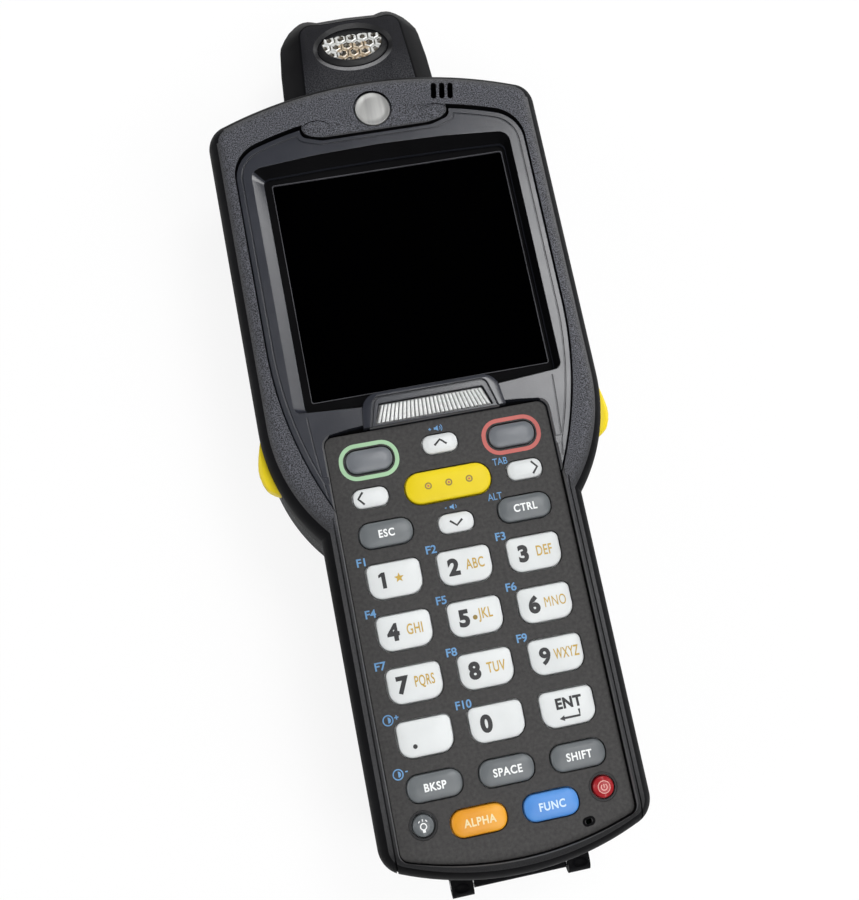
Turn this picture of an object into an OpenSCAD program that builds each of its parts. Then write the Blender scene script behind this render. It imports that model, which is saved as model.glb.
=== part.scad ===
// Hand-held data terminal with a keypad, a recessed display, a swivelling scan head and a
// hinged battery door. It lies on its back: X is its width, +Y points to the scan head and
// +Z comes out of the display. Lengths are in millimetres.

/* [Housing] */
// Width of the handle
handle_w = 58; // [56:0.5:62]
// Width of the display end, without the side buttons
display_end_w = 76.6; // [75:0.2:80]
// Length of the housings, from the bottom end to the top of the hood
body_len = 179.4; // [178:0.2:184]
// Height of the front rim over the surface that the terminal lies on
body_h = 40.5; // [39.5:0.1:43]
// Depth of the front housing, from its rim to the parting plane
front_depth = 13.1; // [12.8:0.1:13.4]
// Wall of the two housings
wall = 2.2; // [1.8:0.1:2.6]
// Distance from the bottom end to where the flare reaches its full width
shoulder_y = 101; // [98:0.5:103]
// Radius of the flare between the handle and the display end
flare_r = 40; // [36:0.5:44]
// Radius of the arc across the bottom end
end_arc_r = 66; // [60:1:80]
// Radius of the arc across the top of the hood
hood_arc_r = 99; // [96:1:120]
// Corner radius at the bottom end
end_corner_r = 6; // [5.5:0.1:7]
// Corner radius at the hood
hood_corner_r = 5.5; // [5.4:0.1:7]
// Width of the rounded rim round the front
rim_w = 5.2; // [4.6:0.1:5.3]
// Height of the rounded rim round the front
rim_h = 6; // [4:0.1:6]
// Width of the rounding along the edges of the back
back_round_w = 4.6; // [3:0.1:4.8]
// Height of the rounding along the edges of the back
back_round_h = 6; // [4:0.1:7]

/* [Display] */
// Width of the display window
window_w = 53.8; // [50:0.2:54.4]
// Length of the display window
window_l = 54; // [50:0.2:54.6]
// Distance from the bottom end to the display window
window_y = 103.2; // [103:0.1:104]
// Sideways offset of the display window
window_x = 1.15; // [0:0.05:1.5]
// Width of the smooth bezel's opening at its face
opening_w = 59.6; // [58.6:0.2:60.6]
// Distance from the window to the top of the opening's arched upper edge
opening_top = 4.6; // [3:0.1:4.8]
// Distance from the window to the opening's lower edge beside the light bar
opening_bottom = 1.4; // [1.2:0.1:1.6]
// Thickness of the bezel
bezel_t = 3.4; // [3:0.1:3.6]
// How far the bezel's face lies under the front rim
bezel_drop = 0.6; // [0.3:0.1:0.9]
// Thickness of the gasket over the glass
gasket_t = 0.4; // [0.3:0.1:0.6]
// Thickness of the touch panel
glass_t = 1.1; // [0.8:0.1:1.2]
// Thickness of the display module
lcd_t = 3.6; // [3:0.1:3.8]
// Width of the badge under the hood's edge
badge_d = 8.1; // [7:0.1:9]

/* [Keypad] */
// Width of the housing's rail on each side of the keypad
rail_w = 4.3; // [3.9:0.1:4.6]
// Distance from the bottom end to the keypad panel
panel_y = 3.8; // [3.4:0.1:4.6]
// Radius of the arc along the panel's lower edge
panel_arc_r = 74; // [68:1:90]
// Thickness of the keypad panel
panel_t = 1.2; // [1:0.1:1.4]
// How far the panel's face lies under the front rim
panel_drop = 2; // [1.6:0.1:2.2]
// How far a key stands out of the panel
key_rise = 1.2; // [0.9:0.1:1.6]
// Sideways pitch of the keys
key_pitch_x = 15.2; // [14.8:0.1:15.4]
// Pitch of the number rows
key_pitch_y = 11; // [10.8:0.1:11.1]
// Distance from the bottom end to the lowest number row
first_row_y = 31.05; // [30.8:0.05:31.3]
// Clearance round a key in its hole
key_gap = 0.3; // [0.2:0.05:0.4]
// Travel of a key
key_travel = 0.8; // [0.5:0.1:0.9]
// Width of a number key
number_key_w = 11.4; // [10.5:0.1:12]
// Length of a number key
number_key_l = 7.4; // [6.8:0.1:7.8]
// Width of a flat function key
flat_key_w = 11.5; // [10.5:0.1:12]
// Length of a flat function key
flat_key_l = 5.4; // [5:0.1:5.8]
// Width of an arrow key
arrow_key_w = 7.6; // [7:0.1:8]
// Length of an arrow key
arrow_key_l = 4.1; // [3.8:0.1:4.3]
// Width of the scan key
scan_key_w = 18.7; // [17:0.1:19]
// Length of the scan key
scan_key_l = 6.8; // [6.4:0.1:7]
// Width of a call key, inside its coloured ring
call_key_w = 10.1; // [9.6:0.1:10.4]
// Length of a call key
call_key_l = 5; // [4.6:0.1:5.2]
// Width of the power key and of the backlight key
round_key_d = 4.4; // [4:0.1:4.6]

/* [Scan head] */
// Distance from the hood's top to the swivel axis
pivot_in = 14.4; // [14:0.1:14.8]
// Width of the scan head
scan_head_w = 37.4; // [36:0.2:37.8]
// Width of the scan head's tip
scan_tip_w = 34; // [32:0.2:34.4]
// Distance from the swivel axis to the tip
scan_reach = 41.1; // [40:0.1:42]
// Distance between the outer sides of the two bumps at the tip
bump_span = 23; // [22:0.2:25]
// Height of the scan head over the surface that the terminal lies on
scan_head_low = 3; // [2.6:0.1:3.6]
// Running gap between the scan head and the plate over it
swivel_gap = 0.4; // [0.3:0.05:0.5]
// Wall of the scan head
head_wall = 1.8; // [1.5:0.1:2]
// Width of the bevel round the scan head's face
head_bevel = 4.5; // [4:0.1:4.6]
// Outer radius of the hollow swivel shaft
shaft_r = 6.5; // [6:0.1:7]
// Radius of the bore through the swivel shaft
shaft_bore_r = 4.2; // [3.5:0.1:4.6]
// Thickness of the plate that carries the scan head
mount_t = 2; // [1.8:0.1:2.1]
// Width of the exit window
exit_window_w = 15.6; // [13:0.2:16]
// Width of the indicator lens
lens_w = 14.7; // [13:0.1:15]
// Length of the indicator lens
lens_l = 6.1; // [5.4:0.1:6.4]

/* [Battery and door] */
// Width of the housing's rail beside the battery door
door_rail_w = 6.7; // [6.4:0.1:7.2]
// Distance from the bottom end to the door's free end
door_len = 100; // [99:0.2:100.6]
// Thickness of the door
door_t = 2.2; // [2:0.1:2.4]
// How far the door's face lies inside the housing's back
door_lift = 0.4; // [0.2:0.1:0.6]
// Clearance round the door
door_gap = 0.3; // [0.2:0.05:0.4]
// Radius of the hinge pin
pin_r = 0.9; // [0.8:0.05:1]
// Radius of the door's hinge barrel
barrel_r = 1.5; // [1.4:0.05:1.7]
// Radius of the housing's hinge knuckles
knuckle_r = 2.8; // [2.4:0.1:2.9]
// Width of a hinge knuckle
knuckle_w = 4.7; // [4:0.1:5.5]
// Distance between the knuckles' outer ends
hinge_span = 30.2; // [28:0.2:33]
// Distance that the hinge axis lies outside the bottom end
hinge_out = 1; // [0.9:0.05:1.3]
// Travel of a door latch
latch_travel = 2.4; // [2.2:0.1:2.6]
// Distance from the middle to a door latch
latch_x = 12; // [10:0.5:15]

/* [Side buttons] */
// Length of a side button
button_l = 12.6; // [11:0.2:13]
// Height of a side button
button_h = 6.2; // [5:0.1:6.2]
// How far a side button stands out of the flare
button_stand = 2.5; // [1.8:0.1:2.8]
// Travel of a side button
button_travel = 1.2; // [0.8:0.1:1.4]

/* [Hidden] */
$fn = 48;
seg = 6;                                     // straight pieces in a rounded corner
cut = 1;                                     // how far a cut runs past a face
fit = 0.15;                                  // gap round a piece that is set in a pocket

// Housing
parting_h = body_h - front_depth;
pivot_y = body_len - pivot_in;
rear_len = pivot_y - scan_head_w / 2 - 0.8;  // the rear housing ends short of the scan head
panel_w = handle_w - 2 * rail_w;
deck_h = body_h - 6.5;                       // underside of the deck that carries the keypad
roof_h = body_h - 2.5;                       // underside of the hood's roof
port_y = first_row_y - 7.75;                 // middle of the port in the left side

// Display stack, from the bezel down
bezel_top_h = body_h - bezel_drop;
bezel_seat_h = bezel_top_h - bezel_t;
glass_top_h = bezel_seat_h - gasket_t;
lcd_top_h = glass_top_h - glass_t;
lcd_h = lcd_top_h - lcd_t;
window_mid_y = window_y + window_l / 2;
opening_y = window_y - opening_bottom;
opening_top_y = window_y + window_l + opening_top;
opening_rise = 1.6;                          // the opening's upper edge is an arch of this rise
opening_drop = 1;                            // its lower edge drops by this towards the bar
bezel_half = display_end_w / 2 - 5;
bezel_corner_r = 8;
bezel_leg_l = 15;                            // least reach of the legs beside the keypad
panel_top_y = window_y - 6.6;
seam_r = 88;                                 // the bezel narrows to its tips along this arc
seam_y = shoulder_y + 17;
badge_y = body_len - 9.1;
tab_y = body_len - 14.5;                     // lower edge of the housing's tab under the badge
tab_half = 17;
bar_y = panel_top_y + 0.9;                   // light bar
bar_l = 4.3;
bar_low_half = 13;
bar_high_half = 11.6;
bar_seat_h = bezel_seat_h + 1.7;
arch_rise = 0.7;
arch_half = 15.6;                            // half width of the arched frame round the bar
rib_pitch = 0.95;
speaker_x = 16.6;
speaker_y = body_len - 7.2;
slot_pitch = 1.9;
slot_lean = 10;
speaker_size = [15, 8.5, 3];
chamber_y = body_len - speaker_size[1];

// Keypad stack
panel_top_h = body_h - panel_drop;
panel_seat_h = panel_top_h - panel_t;
key_top_h = panel_top_h + key_rise;
lip_t = 0.6;                                 // a key's lip under the panel
lip_w = 0.6;
board_t = 1.3;
dome_t = 0.3;
dome_r = 2.2;
dome_top_h = deck_h + dome_t;
stem_h = dome_top_h + key_travel + 0.05;     // foot of a key's stem at rest
stem_r = 1.2;

// Keys: corner radii at the far and at the near end, and the rows
number_far_r = 1.4;
number_near_r = 2.8;
flat_r = 2.4;
arrow_r = 1.8;
scan_r = 3.2;
call_r = 2.3;
row_1_y = first_row_y + 3 * key_pitch_y;
flat_row_y = first_row_y - 9.95;
low_row_y = first_row_y - 18.45;
round_row_y = low_row_y + 1.3;
upper_flat_y = row_1_y + 9.95;
arrow_row_y = row_1_y + 18.1;
call_row_y = row_1_y + 26.2;
up_y = call_row_y + 0.9;
down_y = upper_flat_y - 0.5;
arrow_x = 17;
call_x = 15.8;
low_x = 7.6;
round_x = 19;
well_r = round_key_d / 2 + 0.8;              // sunk ring round a round key

// A kind of key: width, length, far and near corner radius
NUMBER = [number_key_w, number_key_l, number_far_r, number_near_r];
FLAT = [flat_key_w, flat_key_l, flat_r, flat_r];
ARROW = [arrow_key_w, arrow_key_l, arrow_r, arrow_r];
SCAN = [scan_key_w, scan_key_l, scan_r, scan_r];
CALL = [call_key_w, call_key_l, call_r, call_r];
ROUND = [round_key_d, round_key_d, round_key_d / 2, round_key_d / 2];

// The numbers 1 to 9 in three rows, then the rest: node, x, y, kind, colour
KEYS = concat(
    [for (i = [0:8])
        [str("key_", i + 1), (i % 3 - 1) * key_pitch_x, row_1_y - floor(i / 3) * key_pitch_y,
         NUMBER, "whitesmoke"]],
    [
        ["key_point", -key_pitch_x, first_row_y, NUMBER, "whitesmoke"],
        ["key_0", 0, first_row_y, NUMBER, "whitesmoke"],
        ["key_enter", key_pitch_x, first_row_y, NUMBER, "whitesmoke"],
        ["key_backspace", -key_pitch_x, flat_row_y, FLAT, "slategray"],
        ["key_space", 0, flat_row_y, FLAT, "slategray"],
        ["key_shift", key_pitch_x, flat_row_y, FLAT, "slategray"],
        ["key_alpha", -low_x, low_row_y, FLAT, "orange"],
        ["key_func", low_x, low_row_y, FLAT, "cornflowerblue"],
        ["key_light", -round_x, round_row_y, ROUND, "gray"],
        ["key_power", round_x, round_row_y, ROUND, "firebrick"],
        ["key_escape", -key_pitch_x, upper_flat_y, FLAT, "slategray"],
        ["key_control", key_pitch_x, upper_flat_y, FLAT, "slategray"],
        ["key_up", 0, up_y, ARROW, "whitesmoke"],
        ["key_down", 0, down_y, ARROW, "whitesmoke"],
        ["key_left", -arrow_x, arrow_row_y, ARROW, "whitesmoke"],
        ["key_right", arrow_x, arrow_row_y, ARROW, "whitesmoke"],
        ["key_scan", 0, arrow_row_y, SCAN, "gold"],
        ["key_green", -call_x, call_row_y, CALL, "gray"],
        ["key_red", call_x, call_row_y, CALL, "gray"],
    ]);

// Scan head, about its own swivel axis
head_top_h = parting_h - swivel_gap;
head_low_h = scan_head_low;
head_split_h = (head_top_h + head_low_h) / 2;
head_half = scan_head_w / 2;
tip_half = scan_tip_w / 2;
bump_half = bump_span / 2;
bump_w = 3.2;
low_bevel = 3;                               // bevel along the edges of the scan head's back
mount_top_h = parting_h + mount_t;
shaft_top_h = mount_top_h + 1.4;
clip_h = mount_top_h + 0.2;                  // groove of the retaining clip
clip_t = 0.7;
clip_groove_r = shaft_r - 0.7;
clip_r = shaft_r + 2.1;
run = 0.05;                                  // running clearance of the swivel and the hinge
lens_y = scan_reach - 11.6;
lens_seat_h = head_top_h - 1.5;
rim_oval_w = lens_w + 4.9;
rim_oval_l = lens_l + 3.9;
exit_h = head_low_h + 3.5;                   // lower edge of the exit window
exit_window_h = head_top_h - 7.5 - exit_h;
engine_w = 19;
engine_l = 14;
engine_t = exit_window_h - 2;
engine_y = scan_reach - 21.6;
head_screw_x = head_half - 5.3;
head_boss_r = 2.9;
head_seat_h = head_low_h + 5;
head_screw_ys = [-4, 23];

// Battery and door
door_w = handle_w - 2 * door_rail_w;
pocket_w = door_w - 2.6;
battery_w = pocket_w - 0.8;
pocket_y = 8.6;
battery_y = pocket_y + 0.6;
door_in_h = door_lift + door_t;              // inside of the door
battery_h = door_in_h + 0.6;
pocket_h = parting_h - 7.4;                  // roof of the battery pocket
tray_h = pocket_h + wall;                    // floor over the battery
hinge_y = -hinge_out;
hinge_h = parting_h - knuckle_r - 0.4;
knuckle_x = hinge_span / 2 - knuckle_w;
door_wall_h = hinge_h - knuckle_r - 1;       // top edge of the door's end wall
recess_w = 2 * door_gap + door_w;
end_wall_in = door_t + 0.4;
mid_floor_h = 7;                             // floor between the battery and the display end
channel_x = pocket_w / 2 + wall;
deep_y = door_len + 4;                       // the display end is hollow down to the back wall
latch_w = 7;
latch_l = 5.6;
latch_y = door_len - 9;
pocket_top_y = latch_y - 3.8;
battery_l = pocket_top_y - 0.6 - battery_y;
end_zone_y = 12;                             // the door's end wall lies between 0 and this
latch_bar_w = latch_w - 0.6;
latch_face = 0.3;                            // the latch lies this far inside the door's face
latch_pocket_t = 1.2;
latch_bar_t = 1.35;
latch_out = 2.2;                             // reach of the locked latch past the door
keeper_h = door_in_h + latch_bar_t + 0.4;

// Boards and small pieces
main_board_h = tray_h + 1.8;
main_board_t = 1.2;
main_board_w = pocket_w;
main_board_y = 34;
main_board_top_y = rear_len - 8;
post_x = main_board_w / 2 - 4;
post_ys = [main_board_y + 6, main_board_top_y - 6];
can = [30, 24, 2.2];                         // screening can on the main board
can_ys = [main_board_y + 36, main_board_y + 68];
cell_y = main_board_y + 20;
contact_w = 14;
contact_l = 6;
contact_y = pocket_top_y - 9;
cell_r = 8;
cell_t = 3;
port_w = 6;
port_t = 1.8;
port_h = deck_h - board_t - 2.7;
port_body = [6.8, 9, 3.6];
seal_in = 0.9;
seal_w = 0.6;
seal_t = 0.8;
screw_r = 1.1;
screw_head_r = 2.1;
screw_head_t = 1.8;
screw_seat_h = parting_h - 6.4;
screw_l = deck_h - board_t - 1.1 - screw_seat_h;
boss_r = 2.6;
top_screw_x = display_end_w / 2 - 4.7;

// Housing screws on the right: x, y, foot and top of the screw's bosses
SCREWS = [[handle_w / 2 - 3.7, 11, mid_floor_h - 1, deck_h - board_t - 0.3],
          [top_screw_x, deep_y + 6, wall - 0.2, deck_h + 0.5],
          [top_screw_x, rear_len - 6.5, wall - 0.2, deck_h + 0.5]];

// Side buttons
button_y = shoulder_y - 7.5;
button_mid_h = parting_h + 0.3 + button_h / 2;
button_stem_r = 1.4;
button_in_x = panel_w / 2 + 2.5;             // the tunnels start outside the keypad board
switch_w = 3;
board_half = panel_w / 2 - 0.3;              // half width of the keypad board
flare_x = display_end_w / 2 - flare_r;

tip_y = pivot_y + scan_reach;
mid_y = (tip_y + hinge_y - knuckle_r) / 2;   // the origin is under the middle of the terminal

PIECES = [
    "front_housing", "rear_housing", "housing_seal", "display_bezel", "display_gasket",
    "touch_panel", "display_module", "light_bar", "badge_disc", "keypad_panel",
    "keypad_board", "main_board", "speaker", "backup_cell", "battery_contacts",
    "port_connector", "battery_pack", "battery_door", "door_hinge_pin", "door_latch_left",
    "door_latch_right", "side_button_left", "side_button_right", "swivel_plate",
    "head_cover", "head_base", "exit_window", "indicator_lens", "scan_engine",
    "swivel_clip", "head_screws", "housing_screws"];

// Points of an arc about c, from angle a to angle b
function arc_points(c, r, a, b, n = seg) =
    [for (i = [0:n]) c + r * [cos(a + (b - a) * i / n), sin(a + (b - a) * i / n)]];

// Right half of the housings' outline, lying d inside the real one, from the bottom up
function half_outline(d) =
    let (side = handle_w / 2,
         low = [side - end_corner_r, end_arc_r - sqrt(pow(end_arc_r - end_corner_r, 2)
                                                      - pow(side - end_corner_r, 2))],
         low_a = atan2(low[1] - end_arc_r, low[0]),
         flare_a = -acos((side - d - flare_x) / (flare_r - d)),
         hood_c = body_len - hood_arc_r,
         high_x = display_end_w / 2 - hood_corner_r,
         high = [high_x, hood_c + sqrt(pow(hood_arc_r - hood_corner_r, 2) - pow(high_x, 2))],
         high_a = atan2(high[1] - hood_c, high_x))
    concat(arc_points([0, end_arc_r], end_arc_r - d, -90, low_a),
           arc_points(low, end_corner_r - d, low_a + 8, 0),
           arc_points([flare_x, shoulder_y], flare_r - d, flare_a, 0, 10),
           arc_points(high, hood_corner_r - d, 0, high_a - 5),
           arc_points([0, hood_c], hood_arc_r - d, high_a, 90));

function outline(d = 0) =
    let (half = half_outline(d), n = len(half))
    concat(half, [for (i = [n - 2:-1:1]) [-half[i][0], half[i][1]]]);

// Outline of a key cap, g wider all round
function key_points(kind, g = 0) =
    let (x = kind[0] / 2, y = kind[1] / 2, far = kind[2], near = kind[3], n = 4)
    concat(arc_points([x - far, y - far], far + g, 0, 90, n),
           arc_points([far - x, y - far], far + g, 90, 180, n),
           arc_points([near - x, near - y], near + g, 180, 270, n),
           arc_points([x - near, near - y], near + g, 270, 360, n));

// Right half of the scan head's outline, from its side to the bump at its tip
TIP = [[head_half, 0], [head_half, scan_reach / 2], [tip_half, scan_reach - 5.6],
       [tip_half - 1.3, scan_reach - 4], [bump_half, scan_reach - 0.4],
       [bump_half - 0.5, scan_reach], [bump_half - bump_w + 0.6, scan_reach],
       [bump_half - bump_w, scan_reach - 0.5]];

module in_frame()
    translate([0, -mid_y, 0]) children();

module in_head_frame()
    translate([0, pivot_y - mid_y, 0]) children();

module extrude(low, high)
    translate([0, 0, low]) linear_extrude(high - low) children();

module x_rod(r, x0, x1)
    translate([x0, 0, 0]) rotate([0, 90, 0]) cylinder(r = r, h = x1 - x0);

module both_sides() {
    children();
    mirror([1, 0, 0]) children();
}

// A solid through rings of points, each ring [height, points]; caps meet over point c
module loft(rings, c) {
    n = len(rings[0][1]);
    m = len(rings);
    points = concat([for (r = rings, p = r[1]) [p[0], p[1], r[0]]],
                    [[c[0], c[1], rings[0][0]], [c[0], c[1], rings[m - 1][0]]]);
    sides = [for (j = [0:m - 2], i = [0:n - 1], half = [0, 1])
        let (k = (i + 1) % n, a = j * n + i, b = a + n, e = j * n + k + n, f = j * n + k)
        half == 0 ? [a, b, e] : [a, e, f]];
    low = [for (i = [0:n - 1]) [m * n, i, (i + 1) % n]];
    high = [for (i = [0:n - 1]) [m * n + 1, (m - 1) * n + (i + 1) % n, (m - 1) * n + i]];
    polyhedron(points = points, faces = concat(sides, low, high));
}

// The rear housing's solid form, rounded towards the back
module rear_form()
    loft(concat([for (a = [90:-18:0])
                     [back_round_h * (1 - sin(a)), outline(back_round_w * (1 - cos(a)))]],
                [[parting_h, outline()]]), [0, shoulder_y]);

// The front housing's solid form, rounded towards the front
module front_form()
    loft(concat([[parting_h, outline()]],
                [for (a = [0:15:90])
                     [body_h - rim_h * (1 - sin(a)), outline(rim_w * (1 - cos(a)))]]),
         [0, shoulder_y]);

module band_y(y0, y1, half = display_end_w)
    translate([-half, y0]) square([2 * half, y1 - y0]);

module panel_2d(g = 0)
    offset(delta = g) offset(r = 2) offset(delta = -2) intersection() {
        translate([0, panel_y + panel_arc_r]) circle(r = panel_arc_r, $fn = 180);
        band_y(0, panel_top_y, panel_w / 2);
    }

module tab_2d()
    polygon([[-tab_half, tab_y + 8], [-tab_half, tab_y + 2.1], [4.2 - tab_half, tab_y],
             [tab_half - 4.2, tab_y], [tab_half, tab_y + 2.1], [tab_half, tab_y + 8]]);

// The smooth bezel round the display, with its two legs beside the keypad
module bezel_2d(g = 0)
    offset(delta = g) difference() {
        offset(r = bezel_corner_r) offset(delta = -bezel_corner_r) intersection() {
            translate([0, body_len - hood_arc_r]) circle(r = hood_arc_r - 9.6, $fn = 180);
            union() {
                band_y(seam_y, body_len, bezel_half);
                intersection_for (s = [1, -1])
                    translate([s * (bezel_half - seam_r), seam_y])
                        circle(r = seam_r, $fn = 180);
            }
            band_y(panel_top_y - 2 * bezel_leg_l, body_len);
        }
        panel_2d(fit);
        tab_2d();
        both_sides() gap_2d();
    }

// The bezel's lower edge is arched, so that the gap to the panel widens towards the light bar
module gap_2d()
    polygon([[arch_half - 1.2, panel_top_y], [arch_half - 1.2, panel_top_y + 1.3],
             [panel_w / 2 - 6, panel_top_y + 1], [panel_w / 2 - 1.4, panel_top_y + 0.4],
             [panel_w / 2, panel_top_y - 1.2]]);

module arch_2d(g = 0)
    offset(delta = g)
        polygon([[-arch_half, bar_y - 0.5], [-arch_half, opening_y], [2 - arch_half, opening_y + 2.6],
                 [arch_half - 2, opening_y + 2.6], [arch_half, opening_y], [arch_half, bar_y - 0.5]]);

module bar_2d(g = 0)
    offset(delta = g)
        polygon([[-bar_low_half, bar_y], [-bar_high_half, bar_y + bar_l],
                 [bar_high_half, bar_y + bar_l], [bar_low_half, bar_y]]);

module window_2d(g = 0)
    translate([window_x - window_w / 2 - g, window_y - g])
        square([window_w + 2 * g, window_l + 2 * g]);

// A pair of places for every row of the screws' table
module screw_places(rows = SCREWS)
    for (p = rows, s = [1, -1])
        translate([s * p[0], p[1], 0]) children();

module head_2d(d = 0)
    offset(delta = -d) union() {
        circle(r = head_half, $fn = 96);
        polygon(concat(TIP, [for (i = [len(TIP) - 1:-1:0]) [-TIP[i][0], TIP[i][1]]]));
    }

module oval_2d(w, l)
    scale([w / l, 1]) circle(d = l, $fn = 64);

module head_screw_places()
    for (y = head_screw_ys, s = [1, -1])
        translate([s * head_screw_x, y, 0]) children();

// Section of a side button as seen along X, g wider all round
module button_2d(g = 0)
    offset(r = 2 + g) offset(delta = -2) square([button_h, button_l], center = true);

// The space of a side button: everything to the right at its height and place
module button_tunnel(g)
    translate([button_in_x, button_y, button_mid_h]) rotate([0, 90, 0])
        linear_extrude(display_end_w) button_2d(g);

module flare_band(r0, r1)
    translate([flare_x, shoulder_y, 0]) linear_extrude(deck_h - 0.1) difference() {
        circle(r = r1, $fn = 180);
        circle(r = r0, $fn = 180);
    }

module front_housing() color("#2c2d31") in_frame() {
    difference() {
        union() {
            difference() {
                front_form();
                extrude(parting_h - cut, deck_h) polygon(outline(wall));
                // hood, from its roof down to the plate that carries the scan head
                extrude(parting_h - cut, mount_top_h) intersection() {
                    polygon(outline(wall - 1));
                    band_y(rear_len - wall - 0.3, body_len);
                }
                // sound chamber over the speaker
                extrude(parting_h, roof_h) intersection() {
                    polygon(outline(wall));
                    band_y(chamber_y, body_len);
                }
            }
            for (p = SCREWS)
                screw_places([p]) extrude(parting_h, p[3]) circle(r = boss_r);
        }
        screw_places() extrude(parting_h - cut, deck_h - board_t - 0.8) circle(r = screw_r + run);
        // keypad panel on its ledge
        extrude(panel_seat_h, body_h + cut) panel_2d(fit);
        extrude(deck_h - cut, body_h) panel_2d(-1.2);
        // bezel on its ledge, with room for the display under it
        extrude(bezel_seat_h, body_h + cut) bezel_2d(fit);
        extrude(deck_h - cut, body_h) window_2d(3);
        translate([0, badge_y, body_h - 0.9]) cylinder(d = badge_d + 0.6, h = 2);
        for (i = [-1, 0, 1])
            translate([speaker_x + i * slot_pitch, speaker_y - i * 0.25, roof_h - cut])
                rotate([0, 0, -slot_lean]) linear_extrude(2 * rim_h)
                    offset(r = 0.6) square([0.05, 2.9], center = true);
        // the side buttons' tunnels, open towards the parting plane
        both_sides() {
            button_tunnel(0.3);
            translate([button_in_x, button_y - button_l / 2 - 0.3, parting_h - cut])
                cube([display_end_w, button_l + 0.6, button_h / 2]);
        }
        translate([-handle_w / 2 - cut, port_y - port_w / 2, port_h])
            cube([wall + 2 * cut, port_w, port_t]);
    }
}

module rear_housing() color("#2c2d31") in_frame() {
    difference() {
        union() {
            difference() {
                rear_form();
                extrude(-cut, parting_h + cut) band_y(rear_len, body_len + cut);
                rear_hollows();
            }
            for (p = SCREWS)
                screw_places([p]) extrude(p[2], parting_h) circle(r = screw_head_r + 1.1);
            for (x = [-post_x, post_x], y = post_ys)
                translate([x, y, 0]) extrude(y < pocket_top_y ? pocket_h : wall / 2, main_board_h)
                    circle(r = 2);
            both_sides() translate([0, hinge_y, hinge_h]) {
                x_rod(knuckle_r, knuckle_x, hinge_span / 2);
                translate([knuckle_x, 0, -knuckle_r]) cube([knuckle_w, 4, 2 * knuckle_r]);
            }
        }
        rear_cuts();
    }
}

module rear_hollows() {
    extrude(tray_h, parting_h + cut) intersection() {
        polygon(outline(wall));
        band_y(6, rear_len - wall);
    }
    extrude(mid_floor_h, parting_h) intersection() {
        polygon(outline(wall));
        difference() {
            band_y(18, rear_len - wall);
            band_y(0, pocket_top_y + wall, channel_x);
        }
    }
    extrude(wall, parting_h) intersection() {
        polygon(outline(wall));
        band_y(deep_y, rear_len - wall);
    }
}

module rear_cuts() {
    // screws, from the back
    screw_places() {
        extrude(-cut, screw_seat_h) circle(r = screw_head_r + 0.2);
        extrude(0, parting_h + cut) circle(r = screw_r + 0.2);
    }
    // battery pocket and the battery's contacts
    extrude(-cut, pocket_h) band_y(pocket_y, pocket_top_y, pocket_w / 2);
    extrude(pocket_h - cut, tray_h + cut)
        band_y(contact_y - fit, contact_y + contact_l + fit, contact_w / 2 + fit);
    // the door, its end wall, its tongue and its latches
    extrude(-cut, door_in_h + door_gap) band_y(-5, door_len + door_gap, recess_w / 2);
    extrude(-cut, door_wall_h + door_gap) difference() {
        band_y(-5, end_zone_y, recess_w / 2);
        polygon(outline(end_wall_in));
    }
    extrude(door_wall_h - cut, hinge_h + barrel_r + 0.3)
        band_y(-5, door_t + 0.8, knuckle_x);
    translate([0, hinge_y, hinge_h]) x_rod(pin_r + run / 2, -hinge_span, hinge_span);
    for (x = [-latch_x, latch_x])
        translate([x, 0, 0]) {
            extrude(door_in_h, keeper_h)
                band_y(latch_y - latch_travel + 0.1, door_len + latch_out + 0.4,
                       latch_bar_w / 2 + 0.4);
            extrude(-cut, keeper_h)
                band_y(door_len, door_len + latch_out + 0.4, latch_bar_w / 2 + 0.4);
        }
    extrude(parting_h - seal_t, parting_h + cut) seal_2d();
}

module seal_2d()
    difference() {
        intersection() {
            polygon(outline(seal_in));
            band_y(0, rear_len - seal_in);
        }
        intersection() {
            polygon(outline(seal_in + seal_w));
            band_y(0, rear_len - seal_in - seal_w);
        }
    }

module housing_seal() color("dimgray") in_frame()
    extrude(parting_h - seal_t, parting_h) seal_2d();

module display_bezel() color("#3c4048") in_frame()
    difference() {
        union() {
            difference() {
                extrude(bezel_seat_h, bezel_top_h) bezel_2d();
                display_recess();
            }
            extrude(bezel_top_h - 1.6, bezel_top_h + arch_rise) arch_2d();
        }
        extrude(bar_seat_h, body_h + 2) bar_2d(fit);
    }

// The recess over the display: its walls slope from the opening down to the window
module display_recess() {
    half = opening_w / 2;
    right = window_x + window_w / 2;
    left = window_x - window_w / 2;
    over = 1 / bezel_t;                      // the walls run on past both faces
    function sloped(low, high, t) = low + (high - low) * t;
    window_top = window_y + window_l;
    arched = [for (u = [1:-0.25:-1])
        [u, opening_top_y - opening_rise * u * u]];
    ring = function(t) concat(
        [[sloped(left, -half, t), sloped(window_y, opening_y + opening_drop, t)],
         [-arch_half, sloped(window_y, opening_y, t)],
         [arch_half, sloped(window_y, opening_y, t)],
         [sloped(right, half, t), sloped(window_y, opening_y + opening_drop, t)]],
        [for (p = arched)
            [sloped(p[0] > 0 ? right * p[0] : -left * p[0], half * p[0], t),
             sloped(window_top, p[1], t)]]);
    loft([[bezel_seat_h - over * bezel_t, ring(-over)],
          [bezel_top_h + over * bezel_t, ring(1 + over)]], [0, window_mid_y]);
}

module display_gasket() color("black") in_frame()
    extrude(glass_top_h, bezel_seat_h) difference() {
        window_2d(2.2);
        window_2d(0.4);
    }

module touch_panel() color("#101216") in_frame()
    extrude(lcd_top_h, glass_top_h) window_2d(2.3);

module display_module() color("silver") in_frame()
    extrude(lcd_h, lcd_top_h) window_2d(1.8);

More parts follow.
